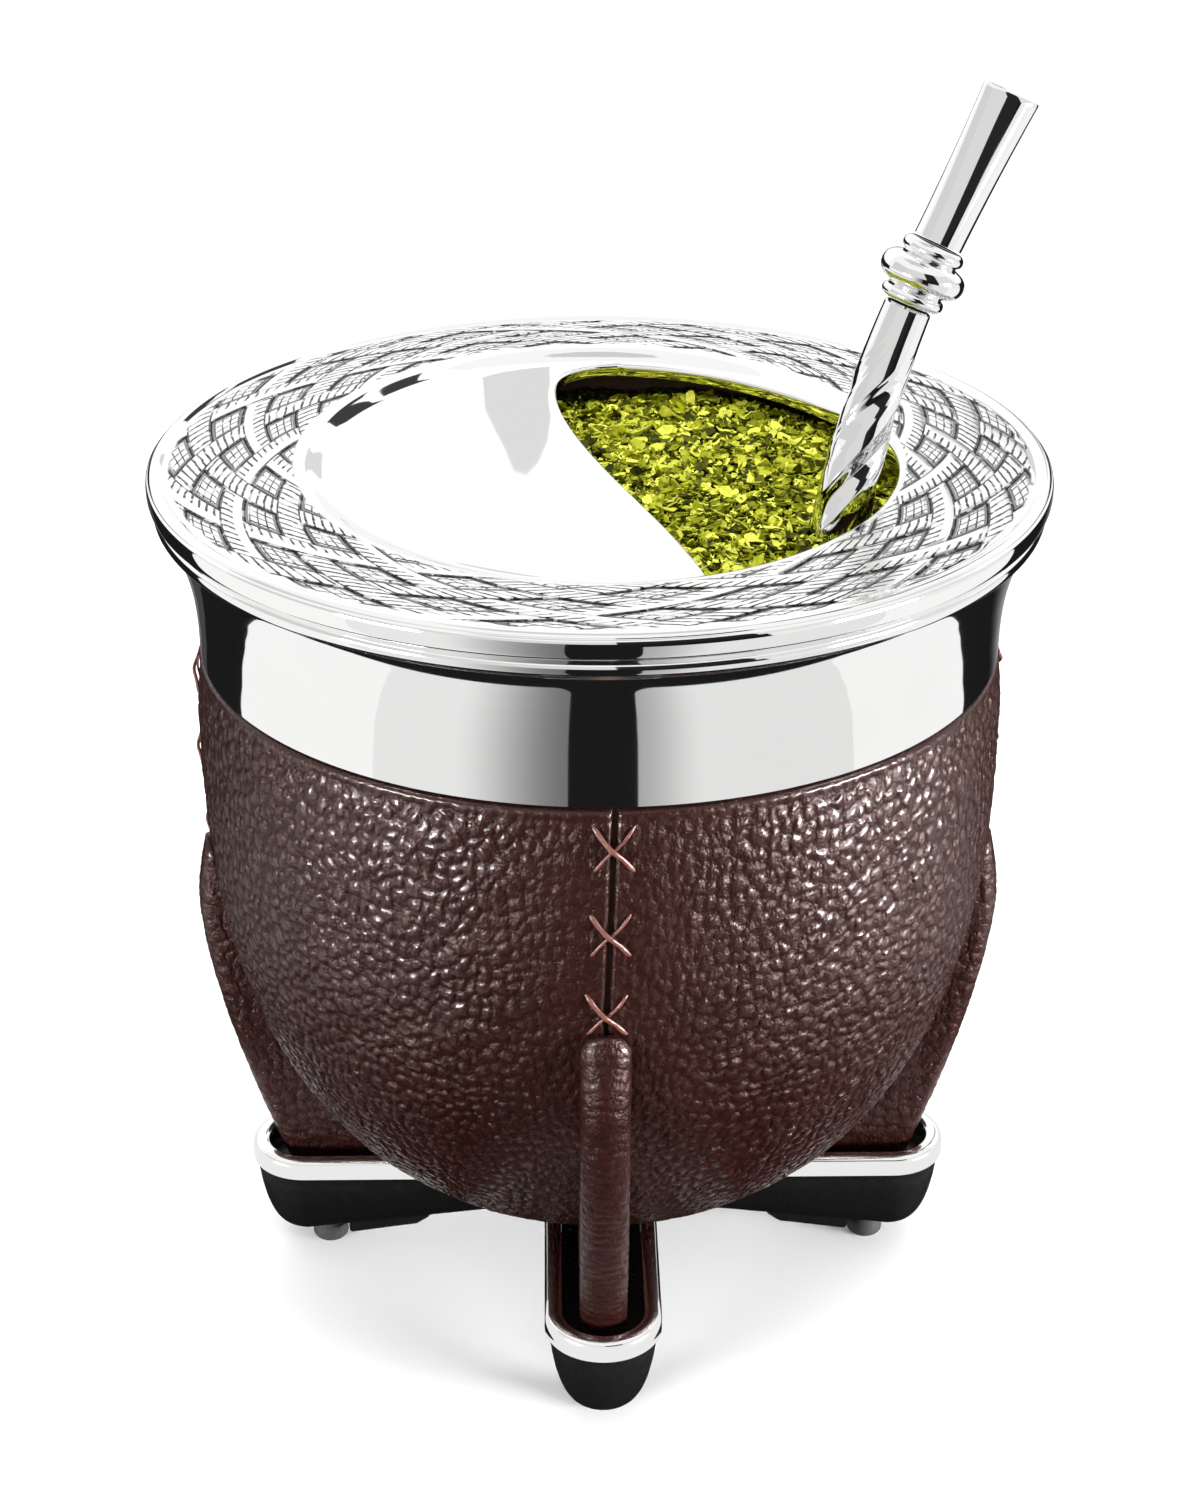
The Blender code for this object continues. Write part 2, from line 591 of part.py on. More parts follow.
def build_yerba(leaf):
    """The filling with its largest flakes fused on, cut round the straw."""
    core = yerba_core()
    surface = BVHTree.FromBMesh(core)
    yerba = add_object("yerba", core, leaf, 180.0)
    rng = random.Random(SEED)
    flakes = bpy.data.collections.new("flakes")
    bpy.context.scene.collection.children.link(flakes)
    placed = 0
    while placed < FLAKE_COUNT:
        x = rng.uniform(-8, 36) * MM
        y = rng.uniform(-33, 36) * MM
        offset = Vector((x, y)) - straw_place(3 * MM)[0].xy
        if math.hypot(x, y) > 38 * MM or offset.length < 7 * MM:
            continue
        above = Vector((x, y, RIM_BOTTOM))
        centre = surface.ray_cast(above, Vector((0, 0, -1)))[0]
        flake = add_object(f"flake_{placed:02d}", flake_mesh(rng, centre), leaf)
        bpy.context.scene.collection.objects.unlink(flake)
        flakes.objects.link(as_tool(flake))
        placed += 1
    join = yerba.modifiers.new("Flakes", "BOOLEAN")
    join.operation = "UNION"
    join.solver = "EXACT"
    join.operand_type = "COLLECTION"
    join.collection = flakes
    apply_modifiers(yerba)
    for flake in list(flakes.objects):
        bpy.data.objects.remove(flake)
    bpy.data.collections.remove(flakes)
    bore = TUBE_LOW_RADIUS + TWIST_DEPTH + FIT_GAP
    places = [STRAW_LOW_END - FIT_GAP, *BURIED_PLACES, TWIST_FROM, 5 * MM, 12 * MM]
    rings = [straw_ring(s, bore, bore, 16) for s in places]
    boolean(yerba, add_object("straw_bore", loft(rings), leaf), "DIFFERENCE")


def apply_modifiers(obj):
    """Replace an object's mesh by its evaluated mesh and drop its modifiers."""
    graph = bpy.context.evaluated_depsgraph_get()
    mesh = bpy.data.meshes.new_from_object(obj.evaluated_get(graph))
    obj.modifiers.clear()
    obj.data = mesh


def straw_place(place):
    """The middle of the straw at a place, with its directions along, across and through. Below
    the neck it follows an arc, and below the arc it runs on straight."""
    wide = Vector((0, 1, 0)).cross(STRAW_DIRECTION).normalized()
    deep = STRAW_DIRECTION.cross(wide)
    bent = min(max(STRAW_BEND_TO - place, 0.0), STRAW_BEND_TO - STRAW_BEND_FROM) / STRAW_BEND_RADIUS
    along = STRAW_DIRECTION * math.cos(bent) - wide * math.sin(bent)
    centre = STRAW_NECK - STRAW_DIRECTION * STRAW_BEND_RADIUS * math.sin(bent)
    centre = centre + wide * STRAW_BEND_RADIUS * (1.0 - math.cos(bent))
    centre = centre + along * (max(place - STRAW_BEND_TO, 0.0) + min(place - STRAW_BEND_FROM, 0.0))
    return centre, along, deep.cross(along), deep


def straw_ring(place, half_wide, half_deep, count, twist=0.0, lobe=0.0):
    """A ring across the straw: oval, and with shallow turning lobes where it is carved."""
    centre, _, wide, deep = straw_place(place)
    ring = []
    for i in range(count):
        angle = math.tau * i / count
        swell = lobe * math.cos(TWIST_LOBES * (angle - twist))
        ring.append(centre + wide * (half_wide + swell) * math.cos(angle)
                    + deep * (half_deep + swell) * math.sin(angle))
    return ring


def tube_radius(place):
    """The straw's tube narrows a little towards its collar."""
    share = min(max((place - TUBE_TAPER_FROM) / (TUBE_END - TUBE_TAPER_FROM), 0.0), 1.0)
    return TUBE_LOW_RADIUS + (TUBE_HIGH_RADIUS - TUBE_LOW_RADIUS) * share


def build_straw(metal):
    """The straw in three pieces: the carved tube, the ringed collar and the flat mouthpiece."""
    count = 16
    places = [STRAW_LOW_END, *BURIED_PLACES, TWIST_FROM]
    steps = 12
    places += [TWIST_FROM + (TWIST_TO - TWIST_FROM) * (k + 1) / steps for k in range(steps)]
    places.append(TUBE_END)
    rings = []
    for s in places:
        share = (s - TWIST_FROM) / (TWIST_TO - TWIST_FROM)
        carved = math.sin(math.pi * min(max(share, 0.0), 1.0)) ** 0.5
        radius = tube_radius(s)
        twist = math.tau * (s - TWIST_FROM) / TWIST_PITCH
        rings.append(straw_ring(s, radius, radius, count, twist, TWIST_DEPTH * carved))
    add_object("straw_tube", loft(rings), metal)

    start = TUBE_END + FIT_GAP
    length = STRAW_COLLAR_END - start
    profile = ((0.0, 3.1), (0.1, 3.65), (0.21, 3.3), (0.25, 3.15), (0.29, 4.0), (0.37, 4.75), (0.5, 4.93),
               (0.63, 4.75), (0.71, 4.0), (0.75, 3.15), (0.8, 3.3), (0.9, 3.6), (1.0, 3.1))
    rings = [straw_ring(start + share * length, r * MM, r * MM, 20) for share, r in profile]
    add_object("straw_collar", loft(rings), metal)

    rings = []
    for share in (0.0, 0.25, 0.5, 0.75, 1.0):
        wide = MOUTH_BASE_RADIUS + (MOUTH_HALF_WIDTH - MOUTH_BASE_RADIUS) * share ** 2
        deep = MOUTH_BASE_RADIUS + (MOUTH_HALF_DEPTH - MOUTH_BASE_RADIUS) * share
        place = MOUTH_START + (MOUTH_END - MOUTH_START) * share
        rings.append(straw_ring(place, wide, deep, 20))
    rings.append(straw_ring(MOUTH_END, MOUTH_HALF_WIDTH - MOUTH_WALL, MOUTH_HALF_DEPTH - MOUTH_WALL, 20))
    floor = straw_ring(MOUTH_END - MOUTH_SLOT_DEPTH, 0.7 * MOUTH_HALF_WIDTH, 0.6 * MOUTH_HALF_DEPTH, 20)
    rings.append(floor)
    add_object("straw_mouthpiece", loft(rings), metal)


for old in list(bpy.data.objects):
    bpy.data.objects.remove(old)

polished = make_material("polished_metal", (0.82, 0.82, 0.83), 1.0, 0.08)
leather_brown = make_material("brown_leather", (0.095, 0.032, 0.028), 0.0, 0.45)
gourd_tan = make_material("gourd_tan", (0.42, 0.26, 0.12), 0.0, 0.7)
black_plastic = make_material("black_plastic", (0.012, 0.012, 0.013), 0.0, 0.3)
black_rubber = make_material("black_rubber", (0.02, 0.02, 0.02), 0.0, 0.7)
lacing = make_material("copper_brown_lacing", (0.2, 0.07, 0.04), 0.0, 0.5)
yerba_green = make_material("yerba_green", (0.34, 0.42, 0.03), 0.0, 0.85)

build_rim(polished)
build_collar(polished)
build_gourd(gourd_tan)
build_leather_panels(leather_brown)
build_legs(leather_brown)
build_base(black_plastic)
build_trim(polished)
build_studs(black_rubber)
build_stitches(lacing)
build_yerba(yerba_green)
build_straw(polished)
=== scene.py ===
import math
import bmesh
import bpy
import numpy as np
from mathutils import Matrix, Vector


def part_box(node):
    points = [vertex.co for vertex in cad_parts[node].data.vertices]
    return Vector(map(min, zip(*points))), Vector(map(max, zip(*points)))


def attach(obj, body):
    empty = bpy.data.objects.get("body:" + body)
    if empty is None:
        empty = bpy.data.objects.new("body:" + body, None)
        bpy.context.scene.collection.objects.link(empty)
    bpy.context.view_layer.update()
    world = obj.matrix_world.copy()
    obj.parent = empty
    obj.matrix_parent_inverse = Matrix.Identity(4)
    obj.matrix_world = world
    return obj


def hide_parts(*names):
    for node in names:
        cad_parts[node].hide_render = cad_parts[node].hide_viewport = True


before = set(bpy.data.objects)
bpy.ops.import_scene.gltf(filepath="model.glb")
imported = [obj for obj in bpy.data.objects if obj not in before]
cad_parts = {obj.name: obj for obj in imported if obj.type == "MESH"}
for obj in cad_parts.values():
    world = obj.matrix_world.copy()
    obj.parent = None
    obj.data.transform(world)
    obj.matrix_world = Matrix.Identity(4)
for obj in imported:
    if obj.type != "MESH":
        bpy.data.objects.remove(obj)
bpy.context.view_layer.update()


# The gourd
# A dried calabash, cut level at the top and scraped out to an even wall. It shows only as the
# dark edge between the yerba and the rim, and through the open seams of the leather. All sizes
# in this file are in millimetres.
MM = 0.001
FIT_GAP = 0.3
BOWL_RADIUS = 48.16
BOWL_WIDEST = 77.6
BOWL_POLE = 13.65
BOWL_POWER_R = 2.55
BOWL_POWER_Z = 2.53
BOWL_FLOOR = 16.05
LEATHER_TOP = 87.2
LEATHER_DRAW_IN = 0.6
LEATHER_THICKNESS = 1.5
GOURD_THICKNESS = 3.5
GOURD_ROWS = 60
GOURD_COLUMNS = 128
RIM_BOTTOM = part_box("rim_flange")[0].z / MM
GOURD_TOP = RIM_BOTTOM - 0.5


def tone(red, green, blue):
    """A colour as it shows on a screen, 0 to 255, turned to the linear values of a shader."""
    share = np.array([red, green, blue]) / 255.0
    linear = np.where(share < 0.04045, share / 12.92, ((share + 0.055) / 1.055) ** 2.4)
    return (*linear.tolist(), 1.0)


class Signal:
    """One output of a finish's node; arithmetic on it adds the Math node for that sum."""

    def __init__(self, finish, socket):
        self.finish = finish
        self.socket = socket

    def sum(self, operation, *values):
        """One Math node that works these values out."""
        return self.finish.node("Math", {"operation": operation}, dict(enumerate(values)))

    def __add__(self, other):
        return self.sum("ADD", self, other)

    def __sub__(self, other):
        return self.sum("SUBTRACT", self, other)

    def __rsub__(self, other):
        return self.sum("SUBTRACT", other, self)

    def __mul__(self, other):
        return self.sum("MULTIPLY", self, other)

    def __truediv__(self, other):
        return self.sum("DIVIDE", self, other)

    def __lt__(self, other):
        return self.sum("LESS_THAN", self, other)

    def __gt__(self, other):
        return self.sum("GREATER_THAN", self, other)

    def __or__(self, other):
        return self.sum("MAXIMUM", self, other)

    def __abs__(self):
        return self.sum("ABSOLUTE", self)

    __radd__ = __add__
    __rmul__ = __mul__
    __ror__ = __or__


class Finish:
    """A material: one Principled shader, with its nodes added by name."""

    def __init__(self, name, **settings):
        self.material = bpy.data.materials.new(name)
        self.material.use_nodes = True
        self.tree = self.material.node_tree
        self.shader = self.tree.nodes["Principled BSDF"]
        for name, value in settings.items():
            self.feed(name.replace("_", " ").title().replace("Ior", "IOR"), value)

    def node(self, kind, settings, inputs, output=0):
        """Add a node, set its settings first, then give its sockets their values or links."""
        made = self.tree.nodes.new("ShaderNode" + kind)
        for name, value in settings.items():
            if name == "stops":
                ramp = made.color_ramp.elements
                while len(ramp) < len(value):
                    ramp.new(1.0)
                for stop, (place, colour) in zip(ramp, value):
                    stop.position = place
                    stop.color = colour
            else:
                setattr(made, name, value)
        for name, value in inputs.items():
            self.join(value, made.inputs[name])
        return Signal(self, made.outputs[output])

    def join(self, value, socket):
        """Link a signal to a socket, or set the socket's own value."""
        if isinstance(value, Signal):
            self.tree.links.new(value.socket, socket)
        else:
            socket.default_value = value

    def feed(self, name, value):
        """Give one of the shader's own sockets a value or a link."""
        self.join(value, self.shader.inputs[name])

    def noise(self, scale, detail=3.0, stretch=(1.0, 1.0, 1.0)):
        """Soft random spots at about this many per metre, on the piece's own coordinates."""
        place = self.node("TexCoord", {}, {}, "Object")
        stretched = self.node("Mapping", {}, {"Vector": place, "Scale": stretch})
        return self.node("TexNoise", {}, {"Vector": stretched, "Scale": scale, "Detail": detail})

    def stored(self, name):
        """The number that the piece's points store under a name."""
        return self.node("Attribute", {"attribute_name": name}, {}, "Fac")

    def mix(self, share, low, high):
        """A colour between two others."""
        return self.node("Mix", {"data_type": "RGBA"}, {0: share, 6: low, 7: high}, 2)

    def bump(self, height, depth):
        """Let a height of 0 to 1 stand this many millimetres proud."""
        raised = self.node("Bump", {}, {"Height": height, "Strength": 1.0, "Distance": depth * MM})
        self.feed("Normal", raised)


def through(points, steps):
    """A smooth line through the points. Between b and c, with a before and d after, it is half of
    2b + (c - a)t + (2a - 5b + 4c - d)tt + (3b - a - 3c + d)ttt."""
    points = np.asarray(points, float)
    padded = np.vstack([2 * points[0] - points[1], points, 2 * points[-1] - points[-2]])
    a, b, c, d = (padded[k:len(padded) - 3 + k, None, :] for k in range(4))
    t = (np.arange(steps) / steps)[None, :, None]
    line = 2 * b + (c - a) * t + (2 * a - 5 * b + 4 * c - d) * t ** 2 + (3 * b - a - 3 * c + d) * t ** 3
    return np.vstack([0.5 * line.reshape(-1, points.shape[1]), points[-1:]])


def full_turn(count):
    """Angles once round, in even steps."""
    return np.linspace(0.0, math.tau, count, endpoint=False)


def polar(radius, angle, height):
    """Points from how far out, which way and how high: (radius * cos a, radius * sin a, height)."""
    return np.stack(np.broadcast_arrays(radius * np.cos(angle), radius * np.sin(angle), height), axis=-1)


def turned(profile, count):
    """Turn a profile of (radius, height) round the upright axis, in even steps."""
    profile = np.asarray(profile, float)
    return polar(profile[:, :1], full_turn(count), profile[:, 1:])


def mesh_of(name, points, faces):
    """A mesh from points in millimetres and lists of corners."""
    mesh = bpy.data.meshes.new(name)
    mesh.from_pydata((np.asarray(points, float) * MM).tolist(), [], faces)
    return mesh


def turn_outwards(mesh):
    """Make the faces of a closed mesh point outwards."""
    work = bmesh.new()
    work.from_mesh(mesh)
    bmesh.ops.recalc_face_normals(work, faces=work.faces)
    work.to_mesh(mesh)
    work.free()


def in_scene(name, data):
    """A new object in the scene."""
    made = bpy.data.objects.new(name, data)
    bpy.context.scene.collection.objects.link(made)
    return made


def piece(name, points, faces, finish, slot, nodes, sharp=None):
    """A finished piece from points in millimetres and lists of corners: faces turned outwards,
    shaded smooth, riding on the cup and standing for its plain solids."""
    mesh = mesh_of(name, points, faces)
    turn_outwards(mesh)
    mesh.shade_smooth()
    if sharp:
        mesh.set_sharp_from_angle(angle=math.radians(sharp))
    mesh.materials.append(finish.material)
    made = in_scene(name, mesh)
    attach(made, "root")
    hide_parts(*nodes)
    return made


def quads(count, across, round_rows=False, round_columns=True):
    """The four corners of each cell of a grid of points, which may close on itself either way."""
    index = np.arange(count * across).reshape(count, across)
    if round_rows:
        index = np.vstack([index, index[:1]])
    if round_columns:
        index = np.hstack([index, index[:, :1]])
    corners = [index[:-1, :-1], index[:-1, 1:], index[1:, 1:], index[1:, :-1]]
    return np.stack(corners, axis=-1).reshape(-1, 4)


def skin(rows, round_rows=False, poles=(None, None)):
    """Points and faces of a tube of rings. Open ends are closed by a fan to a middle point."""
    count, across = rows.shape[:2]
    points = rows.reshape(-1, 3)
    faces = quads(count, across, round_rows).tolist()
    if not round_rows:
        for first, pole in ((0, poles[0]), (count - 1, poles[1])):
            ring = first * across + np.arange(across)
            middle = points[ring].mean(axis=0) if pole is None else np.asarray(pole, float)
            fan = np.stack([ring, np.roll(ring, -1), np.full(across, len(points))], axis=1)
            faces += fan.tolist()
            points = np.vstack([points, middle])
    return points, faces


def bowl_radius(height, inset=0.0):
    """The bowl's radius at a height. Below its widest level it is a superellipse,
    R * (1 - drop ** a) ** (1 / b); above that it draws in by the square of the rise."""
    height = np.asarray(height, float)
    rise = np.clip((height - BOWL_WIDEST) / (LEATHER_TOP - BOWL_WIDEST), 0.0, 1.0)
    drop = np.clip((BOWL_WIDEST - height) / (BOWL_WIDEST - BOWL_POLE - inset), 0.0, 1.0)
    below = (BOWL_RADIUS - inset) * (1.0 - drop ** BOWL_POWER_Z) ** (1.0 / BOWL_POWER_R)
    return below - LEATHER_DRAW_IN * rise ** 2


def walked(line):
    """How far each point of a line lies along it: the running total of its steps."""
    return np.append(0.0, np.cumsum(np.hypot(*np.diff(line, axis=0).T)))


def bowl_line(inset, start, count):
    """(radius, height) points at even spaces along the bowl's wall, from a radius on its flat
    floor to the leather's top. They are read off a finer line, whose levels lie closest together
    near the floor."""
    floor = BOWL_FLOOR + inset
    share = (1.0 - np.cos(np.linspace(0.0, math.pi / 2, 400))) ** 0.8
    height = floor + (BOWL_WIDEST - floor) * share
    height = np.append(height, np.linspace(BOWL_WIDEST, LEATHER_TOP, 40)[1:])
    line = np.stack([bowl_radius(height, inset), height], axis=1)
    line = np.vstack([[start, floor], line])
    way = walked(line)
    even = np.linspace(0.0, way[-1], count)
    return np.stack([np.interp(even, way, line[:, k]) for k in (0, 1)], axis=1)


gourd_skin = Finish("dry_gourd", roughness=0.75)
grain = gourd_skin.noise(260.0, 5.0)
gourd_skin.feed("Base Color", gourd_skin.mix(grain, tone(46, 27, 14), tone(94, 62, 34)))
gourd_skin.bump(grain, 0.15)
outside = bowl_line(LEATHER_THICKNESS + FIT_GAP, 1.0, GOURD_ROWS)
inside = bowl_line(LEATHER_THICKNESS + FIT_GAP + GOURD_THICKNESS, 1.0, GOURD_ROWS)
lip = [(outside[-1, 0], GOURD_TOP - 0.6), (outside[-1, 0] - 0.5, GOURD_TOP),
       (inside[-1, 0] + 0.5, GOURD_TOP), (inside[-1, 0], GOURD_TOP - 0.6)]
gourd = skin(turned(np.vstack([outside, lip, inside[::-1]]), GOURD_COLUMNS))
piece("gourd", *gourd, gourd_skin, "gourd", ["gourd_shell"], 40)


# The leather cover
# Four panels of dark brown pebbled hide, wet-formed over the gourd, with an open seam between
# each pair. The hem under the collar and the seam edges are pressed smooth and turned in.
SEAM_GAP = 0.5
SEAM_LEAN = math.radians(1.1)
LEG_TOP = 59.9
LEATHER_HOLE = 6.0
PANEL_ROWS = 330
PANEL_COLUMNS = 262
LINING_ROWS = 30
LINING_COLUMNS = 24
GRAIN_DEPTH = 0.32
PEBBLE_WIDTH = (1.1, 0.55)
PEBBLE_LENGTH = (1.25, 0.6)
HEM_LINE = 1.25
SIDES = {"front": -90.0, "right": 0.0, "back": 90.0, "left": 180.0}
PANEL_AFTER = {"front": "front_right", "right": "back_right", "back": "back_left", "left": "front_left"}
rng = np.random.default_rng(7)
CELL_PLACES = rng.random((64, 64, 4))


def cells(across, along):
    """Distances to the nearest and second nearest of scattered points, one point in each unit
    square at a random place, as in a cracked or pebbled surface. The lean is the height of a
    plane through the nearest point that slopes at random."""
    column = np.floor(across).astype(int)
    row = np.floor(along).astype(int)
    nearest = np.full(across.shape, 9.0)
    second = np.full(across.shape, 9.0)
    lean = np.zeros(across.shape)
    for step_x in (-1, 0, 1):
        for step_y in (-1, 0, 1):
            place = CELL_PLACES[(column + step_x) % 64, (row + step_y) % 64]
            off_x = column + step_x + 0.1 + 0.8 * place[..., 0] - across
            off_y = row + step_y + 0.1 + 0.8 * place[..., 1] - along
            away = np.hypot(off_x, off_y)
            slope = (place[..., 2] - 0.5) * off_x + (place[..., 3] - 0.5) * off_y
            lean = np.where(away < nearest, slope, lean)
            second = np.minimum(second, np.maximum(nearest, away))
            nearest = np.minimum(nearest, away)
    return nearest, second, lean


def drift(across, along, shift=0.0):
    """A slow wave from -1 to 1: sines of both places at three scales that don't repeat together."""
    wave = np.sin(0.31 * across + 1.7 * np.sin(0.23 * along + shift) + shift)
    wave = wave + 0.6 * np.sin(0.83 * along - 0.57 * across + 2.1 * shift)
    return (wave + 0.4 * np.sin(1.9 * across + 1.3 * along + 3.7 * shift)) / 2.0


def smooth(share):
    """A soft step: 3xx - 2xxx between 0 and 1, level outside."""
    share = np.clip(share, 0.0, 1.0)
    return share * share * (3.0 - 2.0 * share)


def pebbles(across, along):
    """Hide grain, about 0 to 1: flat-topped pebbles that lean at random where the second
    scattered point is well beyond the nearest, creases where both are alike, and a finer grain
    over them."""
    across, along = (across + 0.3 * drift(across * 3.1, along * 3.1, 1.0),
                     along + 0.3 * drift(along * 2.7, across * 2.7, 2.0))
    nearest, second, lean = cells(across, along)
    big = smooth((second - nearest) / 0.34) * (1.0 - 0.7 * nearest ** 2 + 1.3 * lean)
    nearest, second, lean = cells(across * 2.4 + 11.3, along * 2.4 + 5.1)
    fine = smooth((second - nearest) / 0.45) + 0.8 * lean
    return 0.78 * big + 0.22 * fine


def seam_angle(height, side):
    """The direction of a seam: a side's own, leaning a little as it rises above the leg."""
    rise = np.maximum(0.0, height - LEG_TOP) / (LEATHER_TOP - LEG_TOP)
    return math.radians(side) + SEAM_LEAN * rise


def backed(front, back):
    """Points and faces of a thick sheet: a fine grid in front, a coarse one behind, and a strip
    of triangles between their borders, matched by the share of the way round."""
    parts = []
    for grid, start in ((front, 0), (back, front.shape[0] * front.shape[1])):
        rows, columns = grid.shape[:2]
        index = start + np.arange(rows * columns).reshape(rows, columns)
        border = [index[0, :-1], index[:-1, -1], index[-1, :0:-1], index[:0:-1, 0]]
        share = [side + np.arange(len(line)) / len(line) for side, line in enumerate(border)]
        parts.append((quads(rows, columns, False, False) + start, np.concatenate(border),
                      np.concatenate(share)))
    (fine_faces, fine, fine_share), (coarse_faces, coarse, coarse_share) = parts
    beside = np.rint(np.interp(fine_share, np.append(coarse_share, 4.0), np.arange(len(coarse) + 1)))
    beside = coarse[beside.astype(int) % len(coarse)]
    after = np.roll(fine, -1)
    beside_after = np.roll(beside, -1)
    turn = beside != beside_after
    faces = fine_faces.tolist() + coarse_faces.tolist()
    faces += np.stack([fine, after, beside], axis=1).tolist()
    faces += np.stack([after, beside_after, beside], axis=1)[turn].tolist()
    return np.vstack([front.reshape(-1, 3), back.reshape(-1, 3)]), faces


def panel_grid(line, first_side, columns, spare):
    """Angles and points of one panel: each row of the bowl's line runs from seam to seam."""
    radius = line[:, :1]
    height = line[:, 1:]
    half_seam = (0.5 * SEAM_GAP + spare) / radius
    first = seam_angle(height, first_side) + half_seam
    last = seam_angle(height, first_side + 90.0) - half_seam
    angle = first + (last - first) * np.linspace(0.0, 1.0, columns)
    return np.broadcast_arrays(angle, radius, height)


def turned_in(away, width, depth):
    """How far a cut edge is turned in at a distance from it: a quarter round that falls from the
    depth at the edge to nothing at the width, depth * (1 - sqrt(1 - 0.98 ww))."""
    near_edge = np.clip(1.0 - away / width, 0.0, 1.0)
    return depth * (1.0 - np.sqrt(1.0 - near_edge ** 2 * 0.98))


def dimmed(colour, share):
    """A colour at a share of its brightness."""
    return tuple(share * part for part in colour[:3]) + (1.0,)


def leather(name, colour_dark, colour_light):
    """Finished hide: painted shade darkens the creases, the pebbles keep a warmer tone that varies
    at random, half gloss, and pores, wrinkles and folds finer than the formed grain."""
    hide = Finish(name, specular_ior_level=0.17, specular_tint=tone(255, 216, 208), coat_roughness=0.2)
    crest = hide.stored("crest")
    cloud = hide.noise(90.0, 4.0)
    pores = hide.noise(2600.0, 4.0)
    wrinkles = hide.noise(900.0, 3.0, (1.0, 1.0, 0.45))
    folds = abs(hide.noise(520.0, 2.5, (1.0, 1.0, 0.6)) - 0.5)
    worn = hide.mix(cloud, colour_dark, colour_light)
    # Painted shade: where the stored crest is low, in the creases, the hide is painted down to a third of its
    # dark tone.
    hide.feed("Base Color", hide.mix(crest * 0.8 + 0.2, dimmed(colour_dark, 0.35), worn))
    hide.feed("Roughness", 0.4 - crest * 0.1 + (cloud - 0.5) * 0.2)
    hide.feed("Coat Weight", crest * crest * 0.46)
    hide.bump(pores * 0.35 + wrinkles * 0.4 + folds * 1.1, 0.45)
    return hide


def store(made, name, values):
    """Store a number in each of a piece's points under a name, for its finish to read. Points
    beyond the last value, such as those of a lining, get a 1."""
    numbers = np.ones(len(made.data.vertices), np.float32)
    numbers[:values.size] = values.ravel()
    made.data.attributes.new(name, "FLOAT", "POINT").data.foreach_set("value", numbers)


hide = leather("pebbled_hide", tone(22, 6, 4), tone(32, 12, 9))
outer_line = bowl_line(0.0, LEATHER_HOLE, PANEL_ROWS)
inner_line = bowl_line(LEATHER_THICKNESS, LEATHER_HOLE + 0.4, LINING_ROWS)
walk = walked(outer_line)
for number, (side, degrees) in enumerate(SIDES.items()):
    angle, radius, height = panel_grid(outer_line, degrees, PANEL_COLUMNS, 0.0)
    middle = 0.5 * (angle[:, :1] + angle[:, -1:])
    across = (angle - middle) * radius
    along = np.broadcast_to(walk[:, None], across.shape)
    to_seam = radius * (angle[:, -1:] - middle) - np.abs(across)
    to_hem = walk[-1] - along
    pebble_width = PEBBLE_WIDTH[0] + PEBBLE_WIDTH[1] * smooth(to_seam / 15.0)
    pebble_length = PEBBLE_LENGTH[0] + PEBBLE_LENGTH[1] * smooth((along - 18.0) / 45.0)
    cells_across = np.cumsum(np.gradient(across, axis=1) / pebble_width, axis=1)
    cells_across = cells_across - cells_across[:, PANEL_COLUMNS // 2:PANEL_COLUMNS // 2 + 1]
    cells_along = np.cumsum(np.gradient(along, axis=0) / pebble_length, axis=0)
    crest = pebbles(cells_across + 40.0 * number + 30.0, cells_along)
    pressed = smooth(to_hem / 1.6) * smooth(to_seam / 1.2) * smooth(along / 3.0)
    calm = 0.55 + 0.45 * smooth(to_seam / 16.0)
    slack = 0.12 * drift(across * 0.9, along * 0.9, number)
    turn_in = turned_in(to_seam, 0.6, 0.55) + turned_in(to_hem, 0.5, 0.4)
    hem_line = 0.1 * np.exp(-((to_hem - HEM_LINE) / 0.22) ** 2)
    relief = (GRAIN_DEPTH * calm * (crest - 1.0) + slack - 0.1) * pressed - turn_in - hem_line
    radius = radius + relief * smooth((height - BOWL_FLOOR) / 2.0)
    front = polar(radius, angle, height - relief * (1.0 - smooth((height - BOWL_FLOOR) / 6.0)))
    angle, radius, height = panel_grid(inner_line, degrees, LINING_COLUMNS, 0.05)
    sheet = backed(front, polar(radius, angle, height))
    corner = PANEL_AFTER[side]
    panel = piece("hide_" + corner, *sheet, hide, "leather", ["leather_panel_" + corner], 70)
    # The stored crest sets the painted shade in the creases, and the gloss and coat of the pebbles.
    store(panel, "crest", 1.0 - (1.0 - crest) * calm * pressed)


# The legs
# Four fins of the same hide, folded over a stiff core, glued under the bowl and let into the
# foot. The folded edge is wrinkled across, and the flat sides keep their pebbles.
LEG_HALF_WIDTH = 2.85
LEG_CROWN = 50.5
LEG_CROWN_RADIUS = 49.9
LEG_FOOT_RADIUS = 40.2
LEG_CURVE = 1.5
LEG_TIP_DROP = 1.3
SHOE_TOP = 12.85
LEG_ROWS = 190
SIDE_COLUMNS = 34
FOLD_COLUMNS = 26
WRINKLE_SPACING = 1.15


def leg_edge(height):
    """How far out a leg's edge stands: it swings out from the foot by a power of the height,
    and rounds in again above its crown."""
    rise = np.clip((height - LEG_CROWN) / (LEG_TOP - LEG_CROWN), 0.0, 1.0)
    drop = np.clip((LEG_CROWN - height) / (LEG_CROWN - SHOE_TOP), 0.0, 1.0)
    swing = (LEG_CROWN_RADIUS - LEG_FOOT_RADIUS) * drop ** LEG_CURVE
    return LEG_CROWN_RADIUS - swing - LEG_TIP_DROP * rise ** 2


def around(rows, degrees):
    """The same points turned about the upright axis."""
    turn = math.radians(degrees)
    x, y, z = np.moveaxis(rows, -1, 0)
    turned_x = x * math.cos(turn) - y * math.sin(turn)
    return np.stack([turned_x, x * math.sin(turn) + y * math.cos(turn), z], axis=-1)


